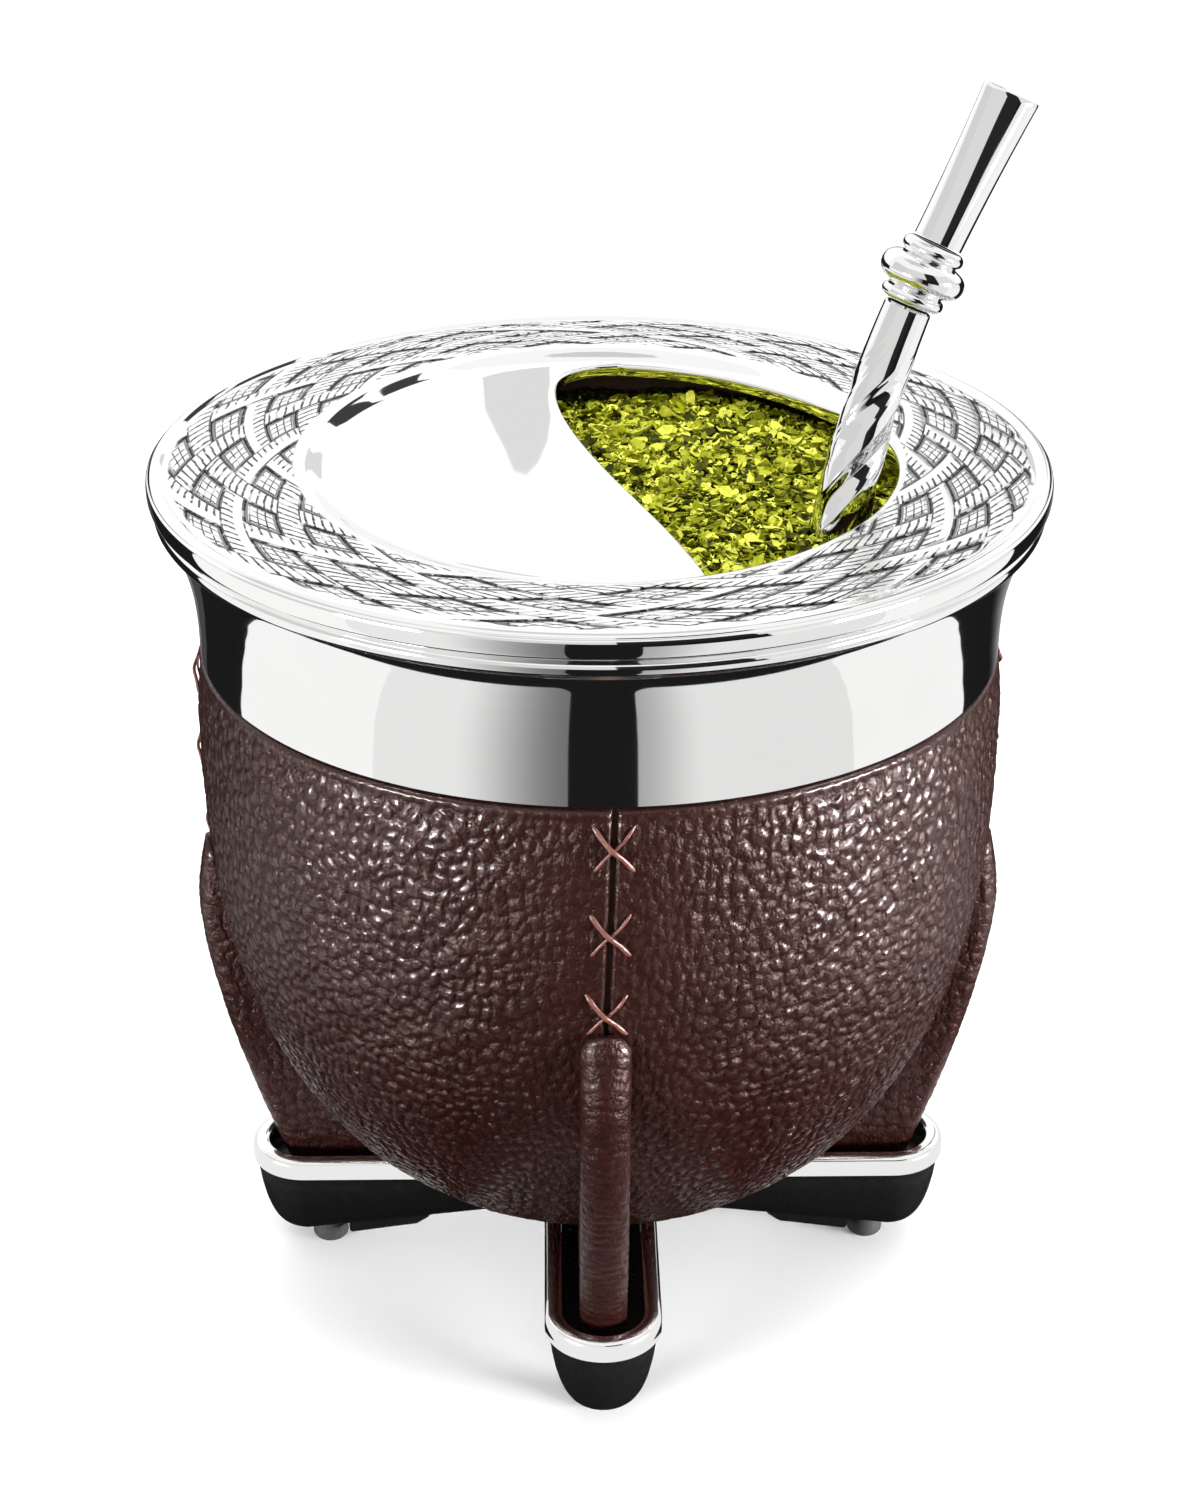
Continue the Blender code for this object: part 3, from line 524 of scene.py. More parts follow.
leg_hide = leather("folded_hide", tone(25, 8, 6), tone(36, 14, 11))
shoulder = LEG_TOP - LEG_HALF_WIDTH
for number, (side, degrees) in enumerate(SIDES.items()):
    height = np.linspace(SHOE_TOP + FIT_GAP, LEG_TOP - 0.04, LEG_ROWS)[:, None]
    half = LEG_HALF_WIDTH * np.sqrt(1.0 - np.clip((height - shoulder) / LEG_HALF_WIDTH, 0.0, 1.0) ** 2)
    inner = bowl_radius(np.maximum(height, BOWL_FLOOR)) + FIT_GAP
    outer = np.maximum(leg_edge(height), inner + 0.35)
    centre = np.maximum(outer - 0.8 * half, inner + 0.1)
    flat = np.linspace(0.0, 1.0, SIDE_COLUMNS)[None, :]
    bend = np.linspace(math.pi / 2, -math.pi / 2, FOLD_COLUMNS)[None, 1:-1]
    x = np.hstack([inner + (centre - inner) * flat, centre + (outer - centre) * np.cos(bend),
                   centre + (inner - centre) * flat])
    y = np.hstack([half * np.ones_like(flat), half * np.sin(bend), -half * np.ones_like(flat)])
    out_x = np.hstack([0.0 * flat, np.cos(bend), 0.0 * flat])
    out_y = np.hstack([np.ones_like(flat), np.sin(bend), -np.ones_like(flat)])
    z = np.broadcast_to(height, x.shape)
    ridge = z + 0.9 * (y / LEG_HALF_WIDTH) ** 2 + 0.5 * drift(z * 1.1, y * 1.6, number)
    wrinkle = 0.5 + 0.5 * np.cos(math.tau * ridge / WRINKLE_SPACING)
    wrinkle = smooth(wrinkle * 1.3) * (0.45 + 0.55 * smooth(0.5 + drift(z * 2.2, y * 3.0, 2.0 + number)))
    grain = pebbles((x + 17.0 * number + np.sign(y) * 30.0) / 1.5, z / 1.6)
    crest = out_x ** 2 * (0.55 * wrinkle + 0.45 * grain) + (1.0 - out_x ** 2) * grain
    settled = smooth((z - height[0]) / 1.0) * smooth((LEG_TOP - z) / 1.5)
    relief = 0.15 * (crest - 1.0) * settled * smooth((x - inner) / 0.8)
    rows = np.stack([x + out_x * relief, y + out_y * relief, z], axis=-1)
    leg = piece("leg_cover_" + side, *skin(around(rows, degrees)), leg_hide, "leather", ["leg_" + side])
    # The stored crest sets the painted shade in the wrinkles and creases, and the gloss and coat of the
    # ridges.
    store(leg, "crest", crest)


# The lacing
# Three crossed stitches of copper-brown leather lace close each seam. The lace goes in through
# a punched hole at each corner, so its ends narrow and dip under the surface.
STITCH_HEIGHTS = (62.1, 72.4, 82.8)
STITCH_HALF_WIDTH = 2.6
STITCH_HALF_HEIGHT = 2.9
LACE_HALF_WIDTH = 0.27
LACE_HALF_DEPTH = 0.2
LACE_STEPS = 40
LACE_COLUMNS = 14
UNDER_STRAND = (1.0, 0.05, 0.68)
OVER_STRAND = (-1.0, 0.5, 1.08)


def strand(height, seam, lean, lift, thick):
    """One strand across a seam: it leans to one side, is lifted in the middle by a bell curve,
    and sinks at both ends as the sixth power of the way from the middle. Thick is its share of
    the lace's full width."""
    t = np.linspace(-1.0, 1.0, LACE_STEPS)[:, None]
    z = height + t * STITCH_HALF_HEIGHT
    stand = bowl_radius(z) + 0.1 + lift * np.exp(-(t / 0.33) ** 2) - 0.75 * t ** 6
    angle = seam + lean * (t * STITCH_HALF_WIDTH + 0.12 * np.sin(5.0 * t)) / stand
    centre = polar(stand, angle, z)[:, 0]
    out = polar(1.0, angle, 0.0)[:, 0]
    along = np.gradient(centre, axis=0)
    along /= np.linalg.norm(along, axis=1, keepdims=True)
    side = np.cross(along, out)
    narrow = thick * np.sqrt(1.0 - 0.85 * t ** 8)[:, :, None]
    turn = full_turn(LACE_COLUMNS)[None, :, None]
    ribs = 1.0 + 0.06 * np.cos(9.0 * t[:, :, None] + 2.0 * turn)
    ring = side[:, None, :] * np.cos(turn) * LACE_HALF_WIDTH
    ring = ring + out[:, None, :] * np.sin(turn) * LACE_HALF_DEPTH
    return centre[:, None, :] + ring * narrow * ribs


def joined(*shells):
    """Points and faces of several closed shells as one piece."""
    starts = np.cumsum([0] + [len(points) for points, faces in shells])
    together = [[corner + start for corner in face] for start, (points, faces) in zip(starts.tolist(), shells)
                for face in faces]
    return np.vstack([points for points, faces in shells]), together


lace = Finish("copper_lace", roughness=0.42, specular_ior_level=0.6)
fibres = lace.noise(1500.0, 4.0, (1.0, 1.0, 0.4))
lace.feed("Base Color", lace.mix(fibres, tone(44, 19, 15), tone(98, 50, 38)))
lace.bump(fibres, 0.08)
for side, degrees in SIDES.items():
    for number, height in enumerate(STITCH_HEIGHTS, start=1):
        seam = float(seam_angle(height, degrees))
        cross = joined(*(skin(strand(height, seam, *way)) for way in (UNDER_STRAND, OVER_STRAND)))
        piece(f"lace_{side}_{number}", *cross, lace, "lacing", [f"stitch_{side}_{number}"])


# The collar
# A spun nickel silver band, polished to a mirror, that grips the top of the leather. It flares
# into a rolled lip, and the rim is soldered on top of it.
COLLAR_OUTSIDE = ((47.15, 87.55), (47.38, 87.7), (47.42, 88.1), (47.5, 91.5), (47.9, 95.5), (48.6, 98.8),
                  (49.5, 101.6), (50.35, 103.6), (50.8, 104.25), (51.45, 104.55), (51.85, 105.2),
                  (51.75, 105.95), (51.2, 106.45))
COLLAR_COLUMNS = 288
COLLAR_INSIDE = ((49.2, 106.45), (48.0, 101.5), (46.4, 94.0), (46.1, 88.1), (46.2, 87.6), (46.5, 87.55))


def polished(name, colour, roughness):
    """Mirror-bright metal with the faint haze of hand polishing."""
    metal = Finish(name, metallic=1.0)
    haze = metal.noise(140.0, 3.0)
    metal.feed("Base Color", metal.mix(haze, dimmed(colour, 0.96), colour))
    metal.feed("Roughness", roughness + haze * 0.03)
    return metal


SILVER = tone(247, 247, 246)
mirror = polished("polished_silver", SILVER, 0.025)
collar_line = np.vstack([through(COLLAR_OUTSIDE, 6), through(COLLAR_INSIDE, 4)])
collar = skin(turned(collar_line, COLLAR_COLUMNS), round_rows=True)
piece("collar", *collar, mirror, "polished_metal", ["collar_band"], 60)


# The rim
# One disc of pressed and chased silver. Its beaded edge turns down, a ring of woven straps is
# engraved on its face, and a polished oval recess falls to a dished plate with the opening.
RIM_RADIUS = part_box("rim_flange")[1].x / MM
RECESS_X = 35.2
RECESS_Y = 39.3
RECESS_WALL = 3.9
PLATE_TOP = 1.5
PLATE_DISH = 0.4
FACE_INNER_TOP = 3.0
FACE_OUTER_TOP = 2.55
FACE_END = RIM_RADIUS - 2.3
SHOULDER_DROP = 0.09
RIM_COLUMNS = 832
PLATE_ROWS = 17
RING_ROWS = 62
OPENING_WALL = ((0.12, 0.0), (0.0, 0.15))
OPENING_LIP = ((0.0, 0.42), (0.05, 0.2), (0.18, 0.06), (0.4, 0.0))
RIM_EDGE = ((-2.3, 2.55), (-2.05, 2.5), (-1.75, 2.64), (-1.2, 2.88), (-0.7, 2.8), (-0.4, 2.5),
            (-0.33, 2.36), (-0.1, 2.15), (0.0, 1.5), (-0.05, 0.7), (-0.25, 0.15), (-0.5, 0.0))
OPENING_X = 34.6
OPENING_Y = 36.5
OPENING_SHIFT_Y = -1.0
OPENING_FLAT = 0.035
OPENING_FLAT_AT = math.radians(42.0)
OPENING_FLAT_WIDTH = math.radians(28.0)
S_EDGE = ((11.1, -35.5), (7.6, -15.0), (-5.9, 11.0), (-4.9, 27.5))
S_CORNER = ((-4.9, 27.5), (-4.7, 35.2), (3.2, 35.4))
OPENING_MIDDLE = np.array([12.0, 2.0])
STRAPS_ROUND = 13
STRAPS_ACROSS = 2.15
STRAP_WIDTH = 0.42
STRAP_RISE = 0.2
FIELD_RISE = 0.15
FIELD_MARGIN = 0.075
BRICKS = 7
NUBS = 1.0 / 0.14
NUB_LINE = 0.09
EDGE_LINE = 0.032


def bezier(points, steps):
    """A Bezier curve: each point counts with the binomial weight of t and 1 - t."""
    points = np.asarray(points, float)
    degree = len(points) - 1
    t = np.linspace(0.0, 1.0, steps)[:, None]
    return sum(math.comb(degree, k) * t ** k * (1.0 - t) ** (degree - k) * points[k:k + 1]
               for k in range(degree + 1))


def opening_edge():
    """The opening seen from above: the S edge, its round corner, then an oval flattened a little
    at the back right, back to the start of the S."""
    turn = np.linspace(math.radians(84.0), math.radians(-70.0), 240)
    flat = 1.0 - OPENING_FLAT * np.exp(-((turn - OPENING_FLAT_AT) / OPENING_FLAT_WIDTH) ** 2)
    oval = np.column_stack([OPENING_X * flat * np.cos(turn), OPENING_Y * flat * np.sin(turn)])
    oval = oval + (0.0, OPENING_SHIFT_Y)
    closing = np.linspace(oval[-1], S_EDGE[0], 12)[1:]
    return np.vstack([bezier(S_EDGE, 160), bezier(S_CORNER, 60)[1:],
                      np.linspace(S_CORNER[-1], oval[0], 8)[1:-1], oval, closing])


def opening_reach(turn):
    """How far the opening's edge lies from its middle in a direction, read along its outline."""
    edge = opening_edge() - OPENING_MIDDLE
    edge_turn = np.arctan2(edge[:, 1], edge[:, 0])
    order = np.argsort(edge_turn)
    return np.interp(turn, edge_turn[order], np.hypot(*edge[order].T), period=math.tau)


def recess_radius(angle):
    """The recess's oval outline: its radius in a direction."""
    return RECESS_X * RECESS_Y / np.hypot(RECESS_Y * np.cos(angle), RECESS_X * np.sin(angle))


def face_height(x, y):
    """The rim's top above its underside: a face that falls gently outwards, a soft-shouldered
    wall down into the recess, and a plate dished by the square of the way to its middle."""
    radius = np.hypot(x, y)
    edge = recess_radius(np.arctan2(y, x))
    outside = np.clip((radius - edge) / (FACE_END - edge), 0.0, 1.0)
    shoulder = SHOULDER_DROP * np.exp(-(radius - edge) / 0.8)
    face = FACE_INNER_TOP + (FACE_OUTER_TOP - FACE_INNER_TOP) * outside - shoulder
    fall = smooth((edge - radius) / RECESS_WALL)
    plate = PLATE_TOP - PLATE_DISH * (1.0 - np.clip(radius / (edge - RECESS_WALL), 0.0, 1.0) ** 2)
    top = FACE_INNER_TOP - SHOULDER_DROP
    return np.where(radius > edge, face, top + (plate - top) * fall)


def whole(value):
    """The distance to the nearest whole number."""
    return np.abs(value - np.round(value))


def woven(p, q):
    """Height of the woven straps. Straps run where p or q is near a whole number; they are
    crowned, and where two cross, the one whose turn it is dips under. Between them lies a sunk
    ground with a raised diamond in it."""
    half = 0.5 * STRAP_WIDTH
    from_p = whole(p) / half
    from_q = whole(q) / half
    p_over = (np.round(p) + np.round(q)) % 2 == 0
    crown_p = np.sqrt(np.clip(1.0 - from_p ** 4, 0.0, 1.0))
    crown_q = np.sqrt(np.clip(1.0 - from_q ** 4, 0.0, 1.0))
    dip = 1.0 - 0.75 * smooth((1.35 - np.where(p_over, from_p, from_q)) / 0.5)
    strap_p = STRAP_RISE * crown_p * np.where(p_over, 1.0, dip)
    strap_q = STRAP_RISE * crown_q * np.where(p_over, dip, 1.0)
    field = FIELD_RISE * smooth((np.minimum(whole(p), whole(q)) - half - FIELD_MARGIN) / 0.03)
    return np.maximum(np.maximum(strap_p, strap_q), field)


column_angle = full_turn(RIM_COLUMNS)
direction = np.stack([np.cos(column_angle), np.sin(column_angle)], axis=1)
recess = direction * recess_radius(column_angle)[:, None]
ray = recess - OPENING_MIDDLE
ray_length = np.hypot(ray[:, 0], ray[:, 1])
edge_length = opening_reach(np.arctan2(ray[:, 1], ray[:, 0]))
ray = ray / ray_length[:, None]
lip_end = OPENING_LIP[-1][0]
plate_room = np.maximum(ray_length - edge_length - lip_end, 0.0)
plate_share = 1.0 - (1.0 - np.linspace(0.0, 1.0, PLATE_ROWS)[1:]) ** 1.5

rows = []
for inset, height in OPENING_WALL:
    flat_point = OPENING_MIDDLE + ray * (edge_length + inset)[:, None]
    rows.append(np.column_stack([flat_point, np.full(RIM_COLUMNS, height)]))
reaches = [(edge_length + inset, sink) for inset, sink in OPENING_LIP]
reaches += [(edge_length + lip_end + share * plate_room, 0.0) for share in plate_share]
for reach, sink in reaches:
    flat_point = OPENING_MIDDLE + ray * reach[:, None]
    rows.append(np.column_stack([flat_point, face_height(*flat_point.T) - sink]))
inner_rows = len(rows)
ring_share = np.linspace(0.0, 1.0, RING_ROWS)[1:, None]
turns = column_angle[None, :] / math.tau * STRAPS_ROUND
ring_p = turns + STRAPS_ACROSS * ring_share
ring_q = turns - STRAPS_ACROSS * ring_share
ring_radius = np.hypot(recess[:, 0], recess[:, 1])[None, :]
ring_radius = ring_radius + (FACE_END - ring_radius) * ring_share
ring_x, ring_y = (ring_radius * direction[:, axis] for axis in (0, 1))
margin = smooth(ring_share / 0.05) * smooth((1.0 - ring_share) / 0.035)
ring_relief = margin * (woven(ring_p, ring_q) - 0.5 * STRAP_RISE)
ring = np.stack([ring_x, ring_y, face_height(ring_x, ring_y) + ring_relief], axis=-1)
rows.extend(ring)
for across, height in through(RIM_EDGE, 3)[1:]:
    rows.append(np.column_stack([direction * (RIM_RADIUS + across), np.full(RIM_COLUMNS, height)]))
rim_rows = np.stack(rows)
rim_rows[..., 2] += RIM_BOTTOM

silver = Finish("engraved_silver", metallic=1.0)
strap_place = silver.node("UVMap", {"uv_map": "straps"}, {})
p, q = (silver.node("SeparateXYZ", {}, {0: strap_place}, axis) for axis in (0, 1))
engraved = silver.stored("engraved")


def near(value):
    """The distance to the nearest whole number, as one Ping-Pong node."""
    return value.sum("PINGPONG", value, 0.5)


def nearest(value):
    """The nearest whole number."""
    return value.sum("ROUND", value)


half = 0.5 * STRAP_WIDTH
on_p = near(p) < half
on_q = near(q) < half
odd = near((nearest(p) + nearest(q)) * 0.5) * 2.0
top_p = on_p * (1.0 - on_q * odd)
top_q = on_q * (1.0 - on_p * (1.0 - odd))
uneven = silver.noise(420.0, 2.0)
coarse = silver.noise(1300.0, 2.0)
wander = (uneven - 0.5) * 0.5
brick_width = 0.06 + coarse * 0.16
bricks_p = (near(q * BRICKS + wander) < brick_width) * top_p
bricks_q = (near(p * BRICKS + wander) < brick_width) * top_q
odd_p = near(nearest(p) * 0.5) * 2.0
odd_q = near(nearest(q) * 0.5) * 2.0
side_p = (p - nearest(p)) > 0.02
side_q = (q - nearest(q)) > 0.02
bricks_p = bricks_p * (1.0 - odd_p * side_p)
bricks_q = bricks_q * (1.0 - (1.0 - odd_q) * side_q)
edge_p = abs(near(p) - half) < EDGE_LINE
edge_q = abs(near(q) - half) < EDGE_LINE
edges = edge_p * (1.0 - top_q) + edge_q * (1.0 - top_p)
nub_p = near((p - 0.5) * NUBS + 0.5 + wander * 0.4) < NUB_LINE
nub_q = near((q - 0.5) * NUBS + 0.5 + wander * 0.4) < NUB_LINE
inside_field = (near(p) > half + FIELD_MARGIN) * (near(q) > half + FIELD_MARGIN)
nub_lines = (nub_p | nub_q) * inside_field
cuts = (bricks_p | bricks_q | nub_lines | edges) * engraved * (0.35 + (uneven > 0.4) * 0.65)
ground = (1.0 - on_p) * (1.0 - on_q) * (1.0 - inside_field) * engraved
stipple = silver.noise(5200.0, 1.0)
# Painted shade: the sunk ground between the straps is painted grey, with a stippled texture over it.
shade = silver.mix(ground * (0.75 + stipple * 0.5), SILVER, tone(150, 150, 150))
# Painted shade: the engraved cuts, brick ticks, nub lines and strap edges are painted near black, for the
# shade in their grooves.
silver.feed("Base Color", silver.mix(cuts * (0.5 + coarse * 0.8), shade, tone(34, 33, 32)))
silver.feed("Roughness", 0.03 + engraved * 0.13 + ground * 0.3 + cuts * 0.2)
silver.bump(1.0 - cuts * 0.8 + (stipple - 0.5) * ground * 0.5, 0.09)
rim = piece("rim", *skin(rim_rows, round_rows=True), silver, "polished_metal", ["rim_flange"], 50)

grid_index = np.empty(len(rim.data.loops), np.int32)
rim.data.loops.foreach_get("vertex_index", grid_index)
grid_row, grid_column = np.divmod(grid_index, RIM_COLUMNS)
corners = grid_column.reshape(-1, 4)
wraps = (corners.max(axis=1) == RIM_COLUMNS - 1) & (corners.min(axis=1) == 0)
unrolled = (corners + RIM_COLUMNS * (wraps[:, None] & (corners == 0))).ravel()
unrolled = unrolled / RIM_COLUMNS * STRAPS_ROUND
share = np.clip((grid_row - inner_rows + 1) / (RING_ROWS - 1), 0.0, 1.0)
straps = np.column_stack([unrolled + STRAPS_ACROSS * share, unrolled - STRAPS_ACROSS * share])
rim.data.uv_layers.new(name="straps").data.foreach_set("uv", straps.astype(np.float32).ravel())
engraved_rows = np.zeros((len(rim_rows), RIM_COLUMNS), np.float32)
engraved_rows[inner_rows:inner_rows + RING_ROWS - 1] = margin > 0.5
store(rim, "engraved", engraved_rows)


# The foot's trim
# A cast and polished frame round the top edge of the foot; the legs stand inside it.
ARM_REACH = 44.9
ARM_HALF_WIDTH = 7.0
ARM_FILLET = 5.0
TRIM_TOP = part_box("foot_trim")[1].z / MM
TRIM_WIDTH = 2.3
TRIM_EDGE = ((0.0, SHOE_TOP + FIT_GAP), (0.05, 13.6), (0.02, TRIM_TOP - 1.1), (0.28, TRIM_TOP - 0.35),
             (0.9, TRIM_TOP), (1.75, TRIM_TOP - 0.1), (2.2, TRIM_TOP - 0.5), (TRIM_WIDTH, 14.2),
             (TRIM_WIDTH, SHOE_TOP + FIT_GAP))


def cross_outline(inset):
    """The foot from above: four arms whose ends are half circles, joined by hollow quarter
    circles. An inset narrows the arms and widens the hollows."""
    half = ARM_HALF_WIDTH - inset
    reach = ARM_REACH - ARM_HALF_WIDTH
    corner = ARM_HALF_WIDTH + ARM_FILLET
    fillet = ARM_FILLET + inset
    end = np.linspace(-math.pi / 2, math.pi / 2, 33)
    hollow = np.linspace(-math.pi / 2, -math.pi, 15)
    side = np.linspace(0.0, 1.0, 12)[1:-1, None]
    arm_end = np.column_stack([reach + half * np.cos(end), half * np.sin(end)])
    inner = np.column_stack([corner + fillet * np.cos(hollow), corner + fillet * np.sin(hollow)])
    out = arm_end[-1:] + (inner[:1] - arm_end[-1:]) * side
    back = inner[-1:] + (np.array([[half, reach]]) - inner[-1:]) * side
    quarter = np.vstack([arm_end, out, inner, back])
    quarter_turn = np.array([[0, 1], [-1, 0]])
    return np.vstack([quarter @ np.linalg.matrix_power(quarter_turn, count) for count in range(4)])


def cross_row(inset, height):
    """The foot's outline with an inset, at a height or at one height for each of its points."""
    outline = cross_outline(inset)
    return np.column_stack([outline, np.broadcast_to(height, len(outline))])


trim_rows = np.stack([cross_row(inset, height) for inset, height in through(TRIM_EDGE, 5)])
cast = polished("cast_silver", SILVER, 0.06)
cast.bump(cast.noise(240.0, 1.0), 0.05)
piece("trim", *skin(trim_rows, round_rows=True), cast, "polished_metal", ["foot_trim"], 55)


# The foot
# A cross moulded in black half-gloss plastic. Its underside falls from the middle to the toes,
# and a raised sole bar crosses each arm just inside its toe.
TOE_BOTTOM = 3.3
SHOE_RISE = 0.12
SHOE_OVERHANG = 0.5
SHOE_TAPER = 0.9
SHOE_ROUND = 2.8
SHOE_KEEL = 0.6
SOLE_INNER = 22.0
SOLE_OUTER = 32.6
SOLE_HALF_WIDTH = 3.4
SOLE_BOTTOM = 2.3
SOLE_TOP = 8.0
SHOE_ROWS = 22
SHOE_LIP = (0.35, 0.3)
depth_share = np.append(np.sin(0.5 * math.pi * np.linspace(0.0, 1.0, SHOE_ROWS)), 1.0)
round_in = 1.0 - (1.0 - depth_share ** 2.4) ** (1.0 / 2.4)
insets = SHOE_OVERHANG + SHOE_TAPER * depth_share + SHOE_ROUND * round_in
insets[-1] = ARM_HALF_WIDTH - SHOE_KEEL
shoe_rows = [cross_row(SHOE_OVERHANG + SHOE_LIP[0], SHOE_TOP)]
for share, inset in zip(depth_share, insets):
    from_toe = ARM_REACH - ARM_HALF_WIDTH - np.hypot(*cross_outline(inset).T)
    depth = SHOE_TOP - TOE_BOTTOM - SHOE_RISE * np.maximum(0.0, from_toe)
    shoe_rows.append(cross_row(inset, SHOE_TOP - depth * share))
shoe_rows[1][:, 2] -= SHOE_LIP[1]
plastic = Finish("black_plastic", base_color=tone(11, 11, 11), specular_ior_level=0.35)
mottle = plastic.noise(700.0, 3.0)
plastic.feed("Roughness", 0.2 + mottle * 0.16)
plastic.bump(mottle, 0.05)
shoe_middle = (0.0, 0.0, TOE_BOTTOM + SHOE_RISE * (ARM_REACH - ARM_HALF_WIDTH))
shell = skin(np.stack(shoe_rows), poles=((0.0, 0.0, SHOE_TOP), shoe_middle))
inner_bottom = SOLE_BOTTOM + SHOE_RISE * (SOLE_OUTER - SOLE_INNER)
bar_line = np.array([(SOLE_INNER, SOLE_TOP), (SOLE_INNER, inner_bottom + 1.4),
                     (SOLE_INNER + 0.3, inner_bottom + 1.0), (SOLE_INNER + 1.8, inner_bottom),
                     (SOLE_OUTER - 0.3, SOLE_BOTTOM + 0.04), (SOLE_OUTER, SOLE_BOTTOM + 0.3),
                     (SOLE_OUTER, SOLE_TOP)])
bar_across = ((-1.0, 0.35), (-1.0, 0.3), (-0.92, 0.0), (0.92, 0.0), (1.0, 0.3), (1.0, 0.35))
bar = np.stack([np.column_stack([bar_line[:, 0], np.full(len(bar_line), share * SOLE_HALF_WIDTH),
                                 bar_line[:, 1] + rise]) for share, rise in bar_across])
foot = joined(shell, *(skin(around(bar, degrees)) for degrees in SIDES.values()))
piece("shoe", *foot, plastic, "black_plastic", ["foot_cross"], 40)


# The studs
# Four matt rubber studs are pressed into the toes and carry the cup.
STUD_RADIUS = 2.3
STUD_PLACE = 35.3
rubber = Finish("stud_rubber", roughness=0.7, base_color=tone(26, 26, 26))
rubber.bump(rubber.noise(1800.0, 3.0), 0.06)
stud_line = through(((0.3, 0.0), (1.5, 0.0), (1.95, 0.12), (2.25, 0.5), (STUD_RADIUS, 1.0),
                     (STUD_RADIUS, 2.0), (STUD_RADIUS, TOE_BOTTOM - FIT_GAP)), 4)
for side, degrees in SIDES.items():
    stud = turned(stud_line, 40) + np.array([STUD_PLACE, 0.0, 0.0])
    piece("stud_" + side, *skin(around(stud, degrees)), rubber, "rubber", ["foot_stud_" + side], 50)


# The straw
# A drinking straw of polished silver in three brazed pieces: a tube whose lower part is cut in
# long twisted facets, a collar of three turned beads, and a flattened mouthpiece with a slot.
TUBE_COLUMNS = 144
STRAW_COLUMNS = 96
STRAW_NECK = np.array([37.22, -6.13, 136.36])
STRAW_DIRECTION = np.array([0.425, 0.1544, 0.8919])
STRAW_DIRECTION = STRAW_DIRECTION / np.linalg.norm(STRAW_DIRECTION)
STRAW_BEND_FROM = -14.0
STRAW_BEND_TO = 37.9
STRAW_BEND_RADIUS = 126.8
STRAW_WIDE = np.cross((0.0, 1.0, 0.0), STRAW_DIRECTION)
STRAW_WIDE = STRAW_WIDE / np.linalg.norm(STRAW_WIDE)
STRAW_DEEP = np.cross(STRAW_DIRECTION, STRAW_WIDE)
STRAW_LOW_END = -58.0
TUBE_END = 30.4
TUBE_LOW_RADIUS = 3.3
TUBE_HIGH_RADIUS = 2.75
FACETS = 4
FACET_PITCH = 34.0
FACET_DEPTH = 0.1
FACET_LINE = 0.09
FACET_STARTS = np.array([-6.0, 9.5, -8.0, 4.0])
FACET_ENDS = np.array([26.7, 25.4, 28.0, 23.5])


def along_straw(places, wide, deep):
    """Rings round the straw: at each place, wide * cos a across it and deep * sin a through it.
    Below the neck the straw follows an arc, and below the arc it runs on straight."""
    turn = full_turn(wide.shape[1])
    bent = np.clip(STRAW_BEND_TO - places, 0.0, STRAW_BEND_TO - STRAW_BEND_FROM)[:, None]
    bent = bent / STRAW_BEND_RADIUS
    along = np.cos(bent) * STRAW_DIRECTION - np.sin(bent) * STRAW_WIDE
    straight = np.maximum(places - STRAW_BEND_TO, 0.0) + np.minimum(places - STRAW_BEND_FROM, 0.0)
    arc = np.sin(bent) * STRAW_DIRECTION - (1.0 - np.cos(bent)) * STRAW_WIDE
    centre = STRAW_NECK - STRAW_BEND_RADIUS * arc + along * straight[:, None]
    across = np.cross(STRAW_DEEP, along)
    sideways = (wide * np.cos(turn))[..., None] * across[:, None, :]
    return centre[:, None, :] + sideways + (deep * np.sin(turn))[..., None] * STRAW_DEEP


def round_straw(places, radius):
    """Round rings along the straw, one radius to a ring."""
    radius = np.repeat(np.reshape(radius, (-1, 1)), STRAW_COLUMNS, axis=1)
    return along_straw(places, radius, radius)


straw_silver = polished("straw_silver", SILVER, 0.03)
places = np.concatenate([[STRAW_LOW_END, STRAW_LOW_END + 0.3], np.linspace(-40.0, -10.0, 12),
                         np.linspace(-9.8, 26.0, 150), np.linspace(26.5, TUBE_END - 0.25, 6), [TUBE_END]])
narrowing = np.clip((places - 10.0) / (TUBE_END - 10.0), 0.0, 1.0)
tube = (TUBE_LOW_RADIUS + (TUBE_HIGH_RADIUS - TUBE_LOW_RADIUS) * narrowing)[:, None]
turn = full_turn(TUBE_COLUMNS)[None, :]
phase = (turn + 0.52 - math.tau * places[:, None] / FACET_PITCH) * FACETS / math.tau
beside = (phase - np.round(phase)) * math.tau / FACETS
facet = np.round(phase).astype(int) % FACETS
facet_length = FACET_ENDS[facet] - FACET_STARTS[facet]
way = np.clip((places[:, None] - FACET_STARTS[facet]) / facet_length, 0.0, 1.0)
cut = 1.0 - FACET_DEPTH * (1.0 - np.abs(2.0 * way - 1.0) ** 2.2)
tube_rows = np.minimum(tube, tube * cut / np.cos(beside))
border = np.abs(np.abs(beside) - np.arccos(cut)) * tube
tube_rows = tube_rows - FACET_LINE * np.exp(-(border / 0.16) ** 2) * ((way > 0.0) & (way < 1.0))
tube_rows[0] -= 0.3
tube_rows[-1] -= 0.2
stem = skin(along_straw(places, tube_rows, tube_rows))
piece("straw_stem", *stem, straw_silver, "straw_metal", ["straw_tube"], 30)

